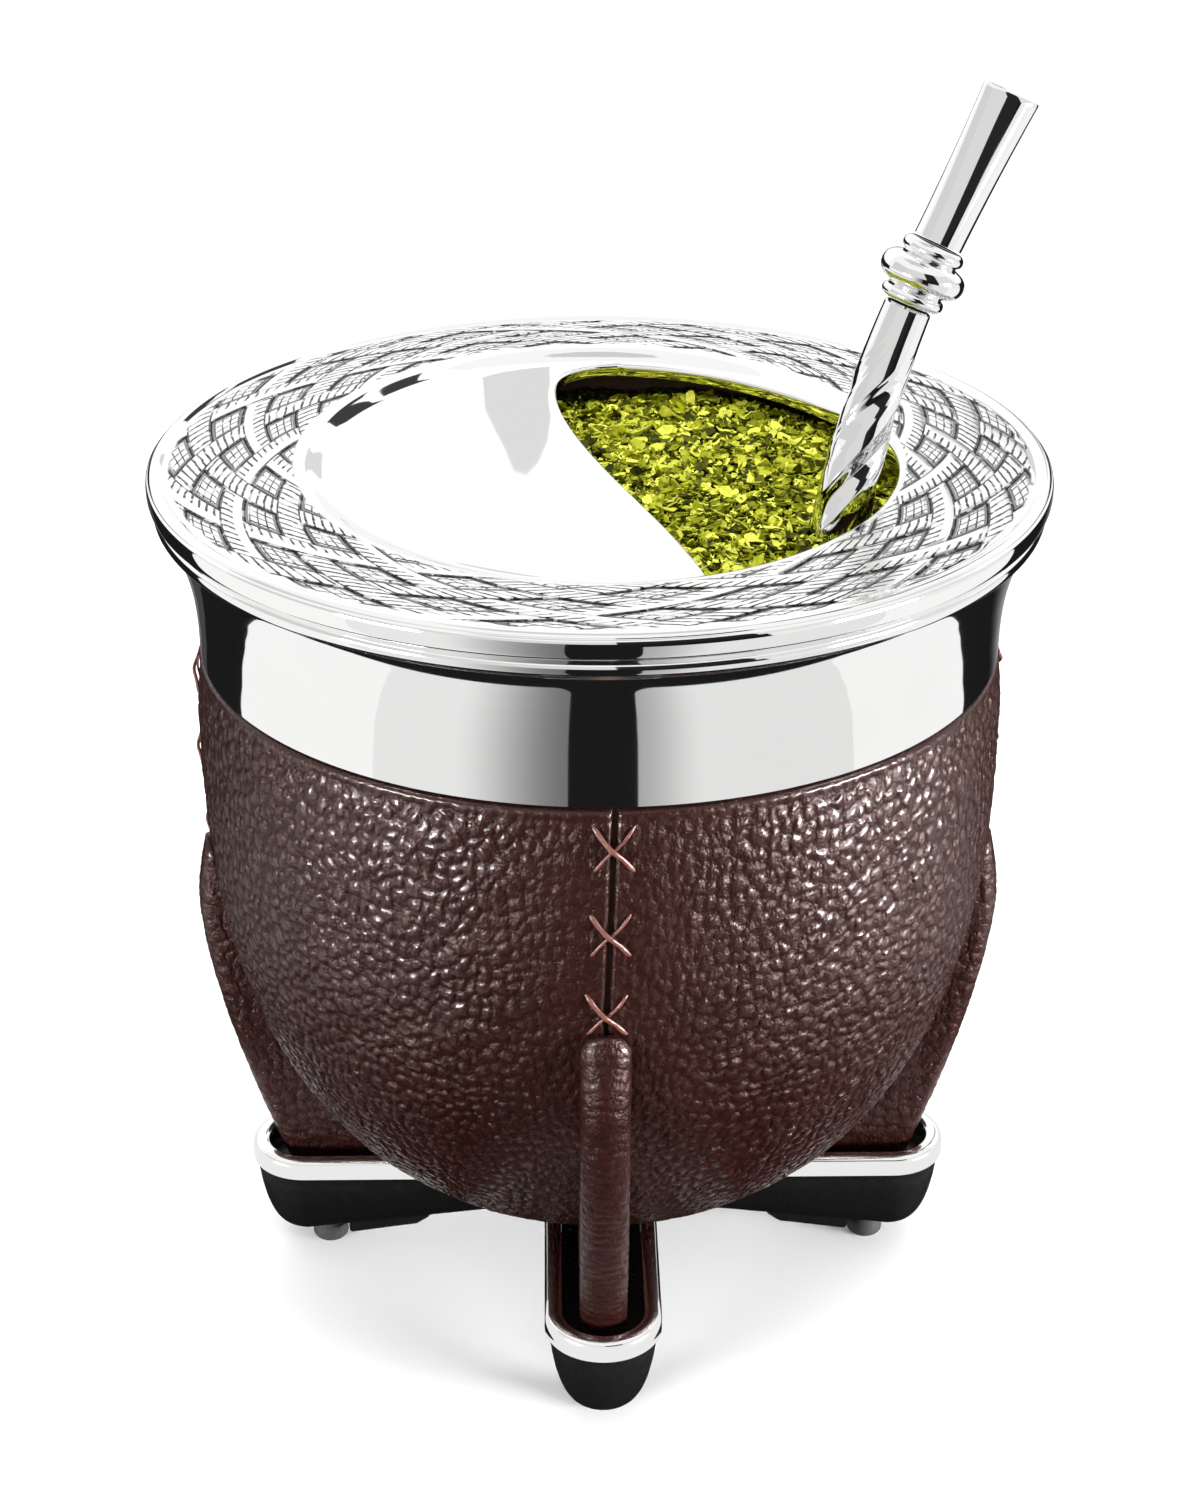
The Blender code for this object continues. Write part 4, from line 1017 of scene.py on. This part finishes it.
COLLAR_START = TUBE_END + FIT_GAP
COLLAR_LENGTH = 7.1
BEADS = ((0.0, 2.9), (0.015, 3.2), (0.06, 3.55), (0.12, 3.65), (0.18, 3.5), (0.215, 3.2), (0.235, 3.1),
         (0.255, 3.35), (0.3, 4.1), (0.38, 4.72), (0.5, 4.93), (0.62, 4.72), (0.7, 4.1), (0.745, 3.35),
         (0.765, 3.1), (0.785, 3.2), (0.82, 3.5), (0.88, 3.62), (0.94, 3.5), (0.985, 3.2), (1.0, 2.9))
bead_share, bead_radius = through(BEADS, 5).T
beads = skin(round_straw(COLLAR_START + bead_share * COLLAR_LENGTH, bead_radius))
piece("straw_beads", *beads, straw_silver, "straw_metal", ["straw_collar"], 35)

MOUTH_START = 38.1
MOUTH_END = 56.1
MOUTH_BASE_RADIUS = 2.85
MOUTH_HALF_WIDTH = 3.35
MOUTH_HALF_DEPTH = 2.0
MOUTH_WALL = 0.55
share = np.linspace(0.0, 1.0, 40)[:, None]
wide = MOUTH_BASE_RADIUS + (MOUTH_HALF_WIDTH - MOUTH_BASE_RADIUS) * share ** 2
deep = MOUTH_BASE_RADIUS + (MOUTH_HALF_DEPTH - MOUTH_BASE_RADIUS) * smooth(share * 0.9 + 0.05)
rim_inset = np.array([[0.08], [0.28], [MOUTH_WALL - 0.08], [MOUTH_WALL]])
wide = np.vstack([wide, MOUTH_HALF_WIDTH - rim_inset, [[MOUTH_HALF_WIDTH - 0.75]], [[2.1]]])
deep = np.vstack([deep, deep[-1] - rim_inset, [[deep[-1, 0] - 0.75]], [[1.1]]])
mouth_places = np.append(MOUTH_START + (MOUTH_END - 0.25 - MOUTH_START) * share[:, 0],
                         MOUTH_END - np.array([0.08, 0.0, 0.04, 0.3, 3.0, 9.0]))
wide, deep = (np.repeat(half, STRAW_COLUMNS, axis=1) for half in (wide, deep))
mouth = skin(along_straw(mouth_places, wide, deep))
piece("straw_mouth", *mouth, straw_silver, "straw_metal", ["straw_mouthpiece"], 50)


# The yerba
# Dry leaf of yerba mate, cut small, fills the gourd and stands in a low mound under the
# opening. It is a solid core of fine leaf with thousands of loose flakes lying on it.
YERBA_RIM_TOP = RIM_BOTTOM - 3.3
YERBA_MOUND = 1.4
YERBA_MOUND_AT = (9.0, 9.0)
YERBA_MOUND_SPREAD = 27.0
YERBA_HOLLOW = 1.5
YERBA_HOLLOW_AT = (-1.0, 33.0)
YERBA_HOLLOW_SPREAD = 11.0
YERBA_COLUMNS = 260
YERBA_ROWS = 130
BORE_GAP = 0.25
BORE_COLUMNS = 48
BIG_FLAKES = 3000
SMALL_FLAKES = 8000


def bell(x, y, middle, spread):
    """A hill of height 1: e to minus the square of the way from its middle over its spread."""
    return np.exp(-((x - middle[0]) ** 2 + (y - middle[1]) ** 2) / spread ** 2)


def yerba_height(x, y):
    """The top of the leaf: a low bell-shaped mound with slow and quick waves on it, and a
    bell-shaped hollow at the back left, where it has settled."""
    mound = YERBA_MOUND * bell(x, y, YERBA_MOUND_AT, YERBA_MOUND_SPREAD)
    hollow = YERBA_HOLLOW * bell(x, y, YERBA_HOLLOW_AT, YERBA_HOLLOW_SPREAD)
    lumps = 0.3 * drift(x * 2.0, y * 2.0, 0.5) + 0.22 * drift(x * 5.0, y * 5.0, 3.0)
    return YERBA_RIM_TOP + mound + lumps - hollow


wall = bowl_line(LEATHER_THICKNESS + 2 * FIT_GAP + GOURD_THICKNESS, 1.0, 26)
below = turned(np.vstack([wall, [(wall[-1, 0], YERBA_RIM_TOP - 1.0)]]), YERBA_COLUMNS)
radius = wall[-1, 0] * np.linspace(1.0, 0.004, YERBA_ROWS)[:, None]
top = polar(radius, full_turn(YERBA_COLUMNS), 0.0)
nearest_leaf, next_leaf, lean = cells(top[..., 0] * 1.3 + 60.0, top[..., 1] * 1.3 + 60.0)
top[..., 2] = yerba_height(top[..., 0], top[..., 1]) - 0.45 + 0.55 * (next_leaf - nearest_leaf)
leaf = Finish("yerba_leaf", roughness=0.6, specular_ior_level=0.1)
speck = leaf.noise(1900.0, 3.0)
# The flakes' colour follows their stored shade: partly the leaf's own tones, partly painted light and shade,
# from near black to bright yellow-green.
blend = leaf.stored("shade") * 0.75 + speck * 0.25
stops = [(0.0, tone(8, 10, 0)), (0.3, tone(62, 66, 0)), (0.55, tone(156, 161, 5)),
         (0.85, tone(246, 248, 98))]
leaf.feed("Base Color", leaf.node("ValToRGB", {"stops": stops}, {"Fac": blend}))
leaf.bump(speck, 0.12)
core_leaf = Finish("yerba_dust_and_shade", roughness=0.8, specular_ior_level=0.2)
dust = core_leaf.noise(1500.0, 4.0)
# Painted shade: the core of fine leaf is painted from near black to a dull green, for the shade in the gaps
# between the flakes over it.
stops = [(0.3, tone(8, 9, 0)), (0.5, tone(40, 43, 2)), (0.7, tone(84, 90, 8))]
core_leaf.feed("Base Color", core_leaf.node("ValToRGB", {"stops": stops}, {"Fac": dust}))
core_leaf.bump(dust, 0.3)
core = piece("yerba_core", *skin(np.vstack([below, top])), core_leaf, "yerba", ["yerba"])

bore_places = np.append(STRAW_LOW_END - 0.3, np.linspace(STRAW_BEND_FROM, 14.0, 8))
bore_radius = np.full((len(bore_places), BORE_COLUMNS), TUBE_LOW_RADIUS + BORE_GAP)
bore_mesh = mesh_of("bore", *skin(along_straw(bore_places, bore_radius, bore_radius)))
turn_outwards(bore_mesh)
bore = in_scene("bore", bore_mesh)
drill = core.modifiers.new("Bore", "BOOLEAN")
drill.operation = "DIFFERENCE"
drill.object = bore
drilled = bpy.data.meshes.new_from_object(core.evaluated_get(bpy.context.evaluated_depsgraph_get()))
core.modifiers.clear()
core.data = drilled
bpy.data.objects.remove(bore)


def turning(axis, angle):
    """A turn about one axis for each angle, as 3 by 3 arrays."""
    first, second = [(1, 2), (2, 0), (0, 1)][axis]
    turn = np.zeros((len(angle), 3, 3))
    turn[:, axis, axis] = 1.0
    turn[:, first, first] = np.cos(angle)
    turn[:, second, second] = np.cos(angle)
    turn[:, first, second] = -np.sin(angle)
    turn[:, second, first] = np.sin(angle)
    return turn


def scatter(count, size_range, corners, steepest, lift):
    """Flakes of dry leaf. Each is a torn polygon, its corners at uneven distances from the
    middle, bent along and across by the squares of the way from the middle, tilted, turned and
    laid on the mound; its two faces meet in a thin edge."""
    x = rng.uniform(-8.0, 37.0, 4 * count)
    y = rng.uniform(-37.0, 37.0, 4 * count)
    off_x = x - OPENING_MIDDLE[0]
    off_y = y - OPENING_MIDDLE[1]
    shown = np.hypot(off_x, off_y) < opening_reach(np.arctan2(off_y, off_x)) + 3.5
    straw_x, straw_y = round_straw(np.array([3.0]), TUBE_LOW_RADIUS)[0, :, :2].mean(axis=0)
    clear = np.hypot(x - straw_x, y - straw_y) > TUBE_LOW_RADIUS + 0.5
    kept = shown & clear & (np.hypot(x, y) < 41.0)
    x = x[kept][:count]
    y = y[kept][:count]
    number = len(x)
    length = rng.uniform(*size_range, number) * rng.uniform(0.75, 1.25, number)
    turn = full_turn(corners)[None, :] + rng.uniform(-0.25, 0.25, (number, corners))
    torn = rng.uniform(0.66, 1.0, (number, corners)) * 0.5 * length[:, None]
    slim = rng.uniform(0.22, 0.85, number)[:, None]
    middle = np.zeros((number, 1))
    flat_x = np.hstack([torn * np.cos(turn), middle])
    flat_y = np.hstack([torn * slim * np.sin(turn), middle])
    curl = rng.uniform(-0.6, 1.1, number)[:, None] / length[:, None]
    fold = rng.uniform(-0.5, 1.1, number)[:, None] / length[:, None]
    bent = curl * flat_x ** 2 + fold * flat_y ** 2 * 1.5
    thick = 0.05 * length[:, None]
    faces_up = np.stack([flat_x, flat_y, bent + thick], axis=-1)
    faces_down = np.stack([flat_x, flat_y, bent - thick], axis=-1)
    faces_up[:, :-1, 2] -= thick * 0.6
    faces_down[:, :-1, 2] += thick * 0.6
    local = np.concatenate([faces_up, faces_down], axis=1)
    tilt = rng.normal(0.0, steepest, number)
    roll = rng.normal(0.0, steepest, number)
    spin = turning(2, rng.uniform(0.0, math.tau, number)) @ turning(0, tilt) @ turning(1, roll)
    placed = np.einsum("nij,nkj->nki", spin, local)
    ground = yerba_height(x, y) + rng.uniform(-0.25, lift, number)
    placed = placed + np.column_stack([x, y, ground])[:, None, :]
    placed[..., 2] = np.minimum(placed[..., 2], RIM_BOTTOM - 0.35)
    lower = corners + 1
    ring = np.arange(corners)
    after = (ring + 1) % corners
    hub = np.full(corners, corners)
    one = np.hstack([[ring, after, hub], [after + lower, ring + lower, hub + lower],
                     [ring, ring + lower, after + lower], [ring, after + lower, after]]).T
    faces = (one[None] + 2 * lower * np.arange(number)[:, None, None]).reshape(-1, 3)
    # Each flake's tone varies at random, partly as painted shade. Flakes lifted above the mound are painted
    # lighter, as painted light.
    shade = np.clip(rng.normal(0.49, 0.31, number) + 0.25 * (ground - yerba_height(x, y)), 0.0, 1.0)
    return placed.reshape(-1, 3), faces.tolist(), np.repeat(shade, 2 * lower)


kinds = (("yerba_flakes", BIG_FLAKES, (1.1, 3.0), 8, 0.4, 0.6),
         ("yerba_crumbs", SMALL_FLAKES, (0.5, 1.4), 5, 0.65, 0.6))
for name, count, size_range, corners, steepest, lift in kinds:
    points, faces, shades = scatter(count, size_range, corners, steepest, lift)
    store(piece(name, points, faces, leaf, "yerba", ["yerba"], 25), "shade", shades)


# The table and the light
# A plain white table in a white room, two low soft lights and one overhead, and glowing or dark
# cards that only the polished metal sees: a dark table with white fields in front of the cup and
# grey ones behind it, walls round it, and small dark flags for the wall of the recess.
FAN_CORNER_STEPS = 9
FAN_SIDE_STEPS = 25
TABLE_HALF = 9000
LEFT_REACH = (98.0, 2800.0)
RIGHT_REACH = (92.0, 420.0)
ROOM = ((-100, -50, 0.7), (-50, 3, 0.75), (3, 36, 0.02), (36, 68, 0.8), (68, 100, 0.8))
DARK_FLAGS = (((159, 165), (1437, 2000)), ((148, 157), (2000, 2900)), ((134, 147), (2900, 4000)),
              ((112, 138), (4000, 6900)))
GREY_PATCH = ((-15.6, 143), (-14.6, 141), (-11, 139.8), (-7, 139.6), (-5.6, 141.5), (-5.2, 147),
              (-5.8, 150.5), (-7.2, 153), (-9, 154.4), (-10.8, 154), (-12.2, 151.5), (-13.6, 149.5),
              (-15.2, 147))
GREY_PATCH_BACK = 120
TOE_GLOW_HALF = 17.0
TOE_GLOW_START = 22.0
TOE_GLOW_REACH = 37.9
TOE_GLOW_LEVELS = (2.5, 19.0)


def card(name, corners, glow, seen_by=("glossy",), fade=None):
    """A flat stage piece from its corners in millimetres, which only the named kinds of light ray
    see. It glows evenly, or fades with x / -y from a first share of the glow to the whole."""
    paint = Finish(name, roughness=1.0, specular_ior_level=0.0, base_color=tone(0, 0, 0),
                   emission_color=tone(255, 255, 255), emission_strength=glow)
    if fade:
        start, end, dim = fade
        place = paint.node("TexCoord", {}, {}, "Object")
        sideways, forward = (paint.node("SeparateXYZ", {}, {0: place}, axis) for axis in "XY")
        share = paint.node("MapRange", {"interpolation_type": "SMOOTHSTEP"},
                           {"Value": abs(sideways) / (0.0 - forward), "From Min": start, "From Max": end})
        paint.feed("Emission Color", paint.mix(share, (dim, dim, dim, 1.0), (1.0, 1.0, 1.0, 1.0)))
    mesh = mesh_of(name, corners, [list(range(len(corners)))])
    mesh.materials.append(paint.material)
    made = in_scene(name, mesh)
    made.visible_camera = False
    made.visible_diffuse = "diffuse" in seen_by
    made.visible_glossy = "glossy" in seen_by
    made.visible_shadow = False


def fan_card(name, reaches, angles, glow, corner=9.0, level=1.0, fade=None, drift_to=0.0):
    """A card lying just over the table: part of a ring round the cup, with rounded corners. Its
    angles are counted from the camera's side, and its near edge may drift outwards on the way."""
    near, far = reaches
    first, last = angles
    bend = np.linspace(0.0, 0.5 * math.pi, FAN_CORNER_STEPS)
    start = 1.0 - np.sin(bend)
    end = 1.0 - np.cos(bend)
    near_turn = math.degrees(corner / near)
    far_turn = math.degrees(corner / far)
    side = np.full(FAN_SIDE_STEPS, 1.0)
    reach = np.concatenate([near + corner * start, near * side, near + corner * end,
                            far - corner * start, far * side, far - corner * end])
    turn = np.concatenate([first + near_turn * end,
                           np.linspace(first + near_turn, last - near_turn, FAN_SIDE_STEPS),
                           last - near_turn * start, last - far_turn * end,
                           np.linspace(last - far_turn, first + far_turn, FAN_SIDE_STEPS),
                           first + far_turn * start])
    near_part = slice(0, len(turn) // 2)
    reach[near_part] += drift_to * ((turn - first) / (last - first))[near_part]
    card(name, polar(reach, np.radians(turn - 90.0), level), glow, fade=fade)


def upright_card(name, reach, angles, levels, glow):
    """A card standing across part of a circle round the cup, from a low to a high level."""
    turn = np.radians(np.array([*angles, *angles[::-1]]) - 90.0)
    card(name, polar(reach, turn, np.repeat(levels, 2)), glow)


def soft_light(name, place, aim, size, power):
    """A square soft light of a size in millimetres, turned to a point on the cup."""
    light = bpy.data.lights.new(name, "AREA")
    light.shape = "RECTANGLE"
    light.size = size[0] * MM
    light.size_y = size[1] * MM
    light.energy = power
    lamp = in_scene(name, light)
    lamp.location = Vector(place) * MM
    lamp.rotation_mode = "QUATERNION"
    lamp.rotation_quaternion = (Vector(aim) - Vector(place)).to_track_quat("-Z", "Y")
    return lamp


def square(half, level):
    """The corners of a level square round the cup."""
    return [(-half, -half, level), (half, -half, level), (half, half, level), (-half, half, level)]


table_mesh = mesh_of("table", square(TABLE_HALF, 0.0), [[0, 1, 2, 3]])
table_mesh.materials.append(Finish("table", roughness=0.9, base_color=tone(248, 248, 248)).material)
table = in_scene("table", table_mesh)
table.visible_diffuse = False
table.visible_glossy = False
card("soft_bounce", square(TABLE_HALF, -2.0), 0.3, ("diffuse",))
card("dark_table", square(TABLE_HALF, 0.5), 0.011)
fan_card("white_left", LEFT_REACH, (-112.0, -8.6), 0.86, fade=(0.12, 0.8, 0.2), drift_to=-14.0)
fan_card("bright_left", LEFT_REACH, (-112.0, -60.0), 0.99, level=2.0, drift_to=-7.0)
fan_card("white_right", (84.0, RIGHT_REACH[1]), (8.6, 114.0), 0.83, fade=(0.12, 0.5, 0.5), drift_to=14.0)
fan_card("bright_right", (91.0, RIGHT_REACH[1]), (67.0, 114.0), 0.98, level=2.0, drift_to=7.0)
fan_card("side_right", RIGHT_REACH, (136.0, 178.0), 0.6, corner=8.0, fade=(-0.97, -0.15, 0.03))
fan_card("side_left", RIGHT_REACH, (-155.0, -141.0), 0.06, corner=8.0)
fan_card("far_right", (419.0, LEFT_REACH[1]), (38.0, 114.0), 0.9, corner=20.0)
fan_card("grey_back", (150.0, 500.0), (150.0, 210.0), 0.3, corner=26.0)
for number, (start, end, glow) in enumerate(ROOM):
    upright_card(f"room_{number}", 3000.0, (start, end), (-50.0, 2000.0), glow)
card("white_wall", [(-6000, 3000, 500), (6000, 3000, 500), (6000, 3000, 5000), (-6000, 3000, 5000)], 1.12)
card("ceiling", square(800, 2600), 0.66)
for number, (angles, levels) in enumerate(DARK_FLAGS):
    upright_card(f"dark_flag_{number}", 2500.0, angles, levels, 0.05)
upright_card("grey_side", 2500.0, (157.0, 170.0), (250.0, 950.0), 0.72)
upright_card("dark_spot", 2450.0, (163.0, 167.0), (560.0, 860.0), 0.15)
card("grey_patch", [(x, GREY_PATCH_BACK, z) for x, z in GREY_PATCH], 0.76)
turn = np.linspace(-math.pi / 2, math.pi / 2, 13)
toe = np.column_stack([TOE_GLOW_REACH + TOE_GLOW_HALF * np.cos(turn), TOE_GLOW_HALF * np.sin(turn)])
toe = np.vstack([[(TOE_GLOW_START, -TOE_GLOW_HALF)], toe, [(TOE_GLOW_START, TOE_GLOW_HALF)]])
for side, degrees in SIDES.items():
    low, high = (around(np.insert(toe, 2, level, axis=1), degrees) for level in TOE_GLOW_LEVELS)
    for number in range(len(toe) - 1):
        corners = [low[number], low[number + 1], high[number + 1], high[number]]
        card(f"toe_glow_{side}_{number}", corners, 0.9)
soft_light("left_light", (-520, -400, 52), (0, 0, 60), (240, 90), 10.5)
soft_light("right_light", (590, -270, 52), (0, 0, 60), (260, 90), 19.0)
soft_light("top_light", (0, 60, 800), (0, 0, 60), (700, 700), 4.0).visible_glossy = False

world = bpy.data.worlds.new("white_room")
bpy.context.scene.world = world
world.use_nodes = True
sky = world.node_tree.nodes["Background"]
sky.inputs["Color"].default_value = (1.0, 1.0, 1.0, 1.0)
sky.inputs["Strength"].default_value = 1.0


# The camera
# It stands in front of the cup and looks down on it by 26 degrees, as the photograph does.
CAMERA_PLACE = Vector((-5.71, -325.15, 231.37))
CAMERA_DOWN = math.radians(26.24)
CAMERA_TURN = math.radians(-1.006)
CAMERA_ROLL = math.radians(0.128)
LENS = 71.25
SHIFT_X = 0.00065
level = Vector((-math.sin(CAMERA_TURN), math.cos(CAMERA_TURN), 0.0))
right = Vector((math.cos(CAMERA_TURN), math.sin(CAMERA_TURN), 0.0))
up = Vector((0.0, 0.0, 1.0))
ahead = math.cos(CAMERA_DOWN) * level - math.sin(CAMERA_DOWN) * up
above = math.sin(CAMERA_DOWN) * level + math.cos(CAMERA_DOWN) * up
rolled_right = math.cos(CAMERA_ROLL) * right + math.sin(CAMERA_ROLL) * above
rolled_above = math.cos(CAMERA_ROLL) * above - math.sin(CAMERA_ROLL) * right
camera_data = bpy.data.cameras.new("camera")
camera_data.lens = LENS
camera_data.sensor_width = 36.0
camera_data.shift_x = SHIFT_X
camera_data.clip_start = 0.01
camera_data.clip_end = 30.0
camera = in_scene("camera", camera_data)
axes = Matrix((rolled_right, rolled_above, -ahead)).transposed().to_4x4()
camera.matrix_world = Matrix.Translation(CAMERA_PLACE * MM) @ axes
bpy.context.scene.camera = camera
bpy.context.scene.view_settings.view_transform = "Standard"
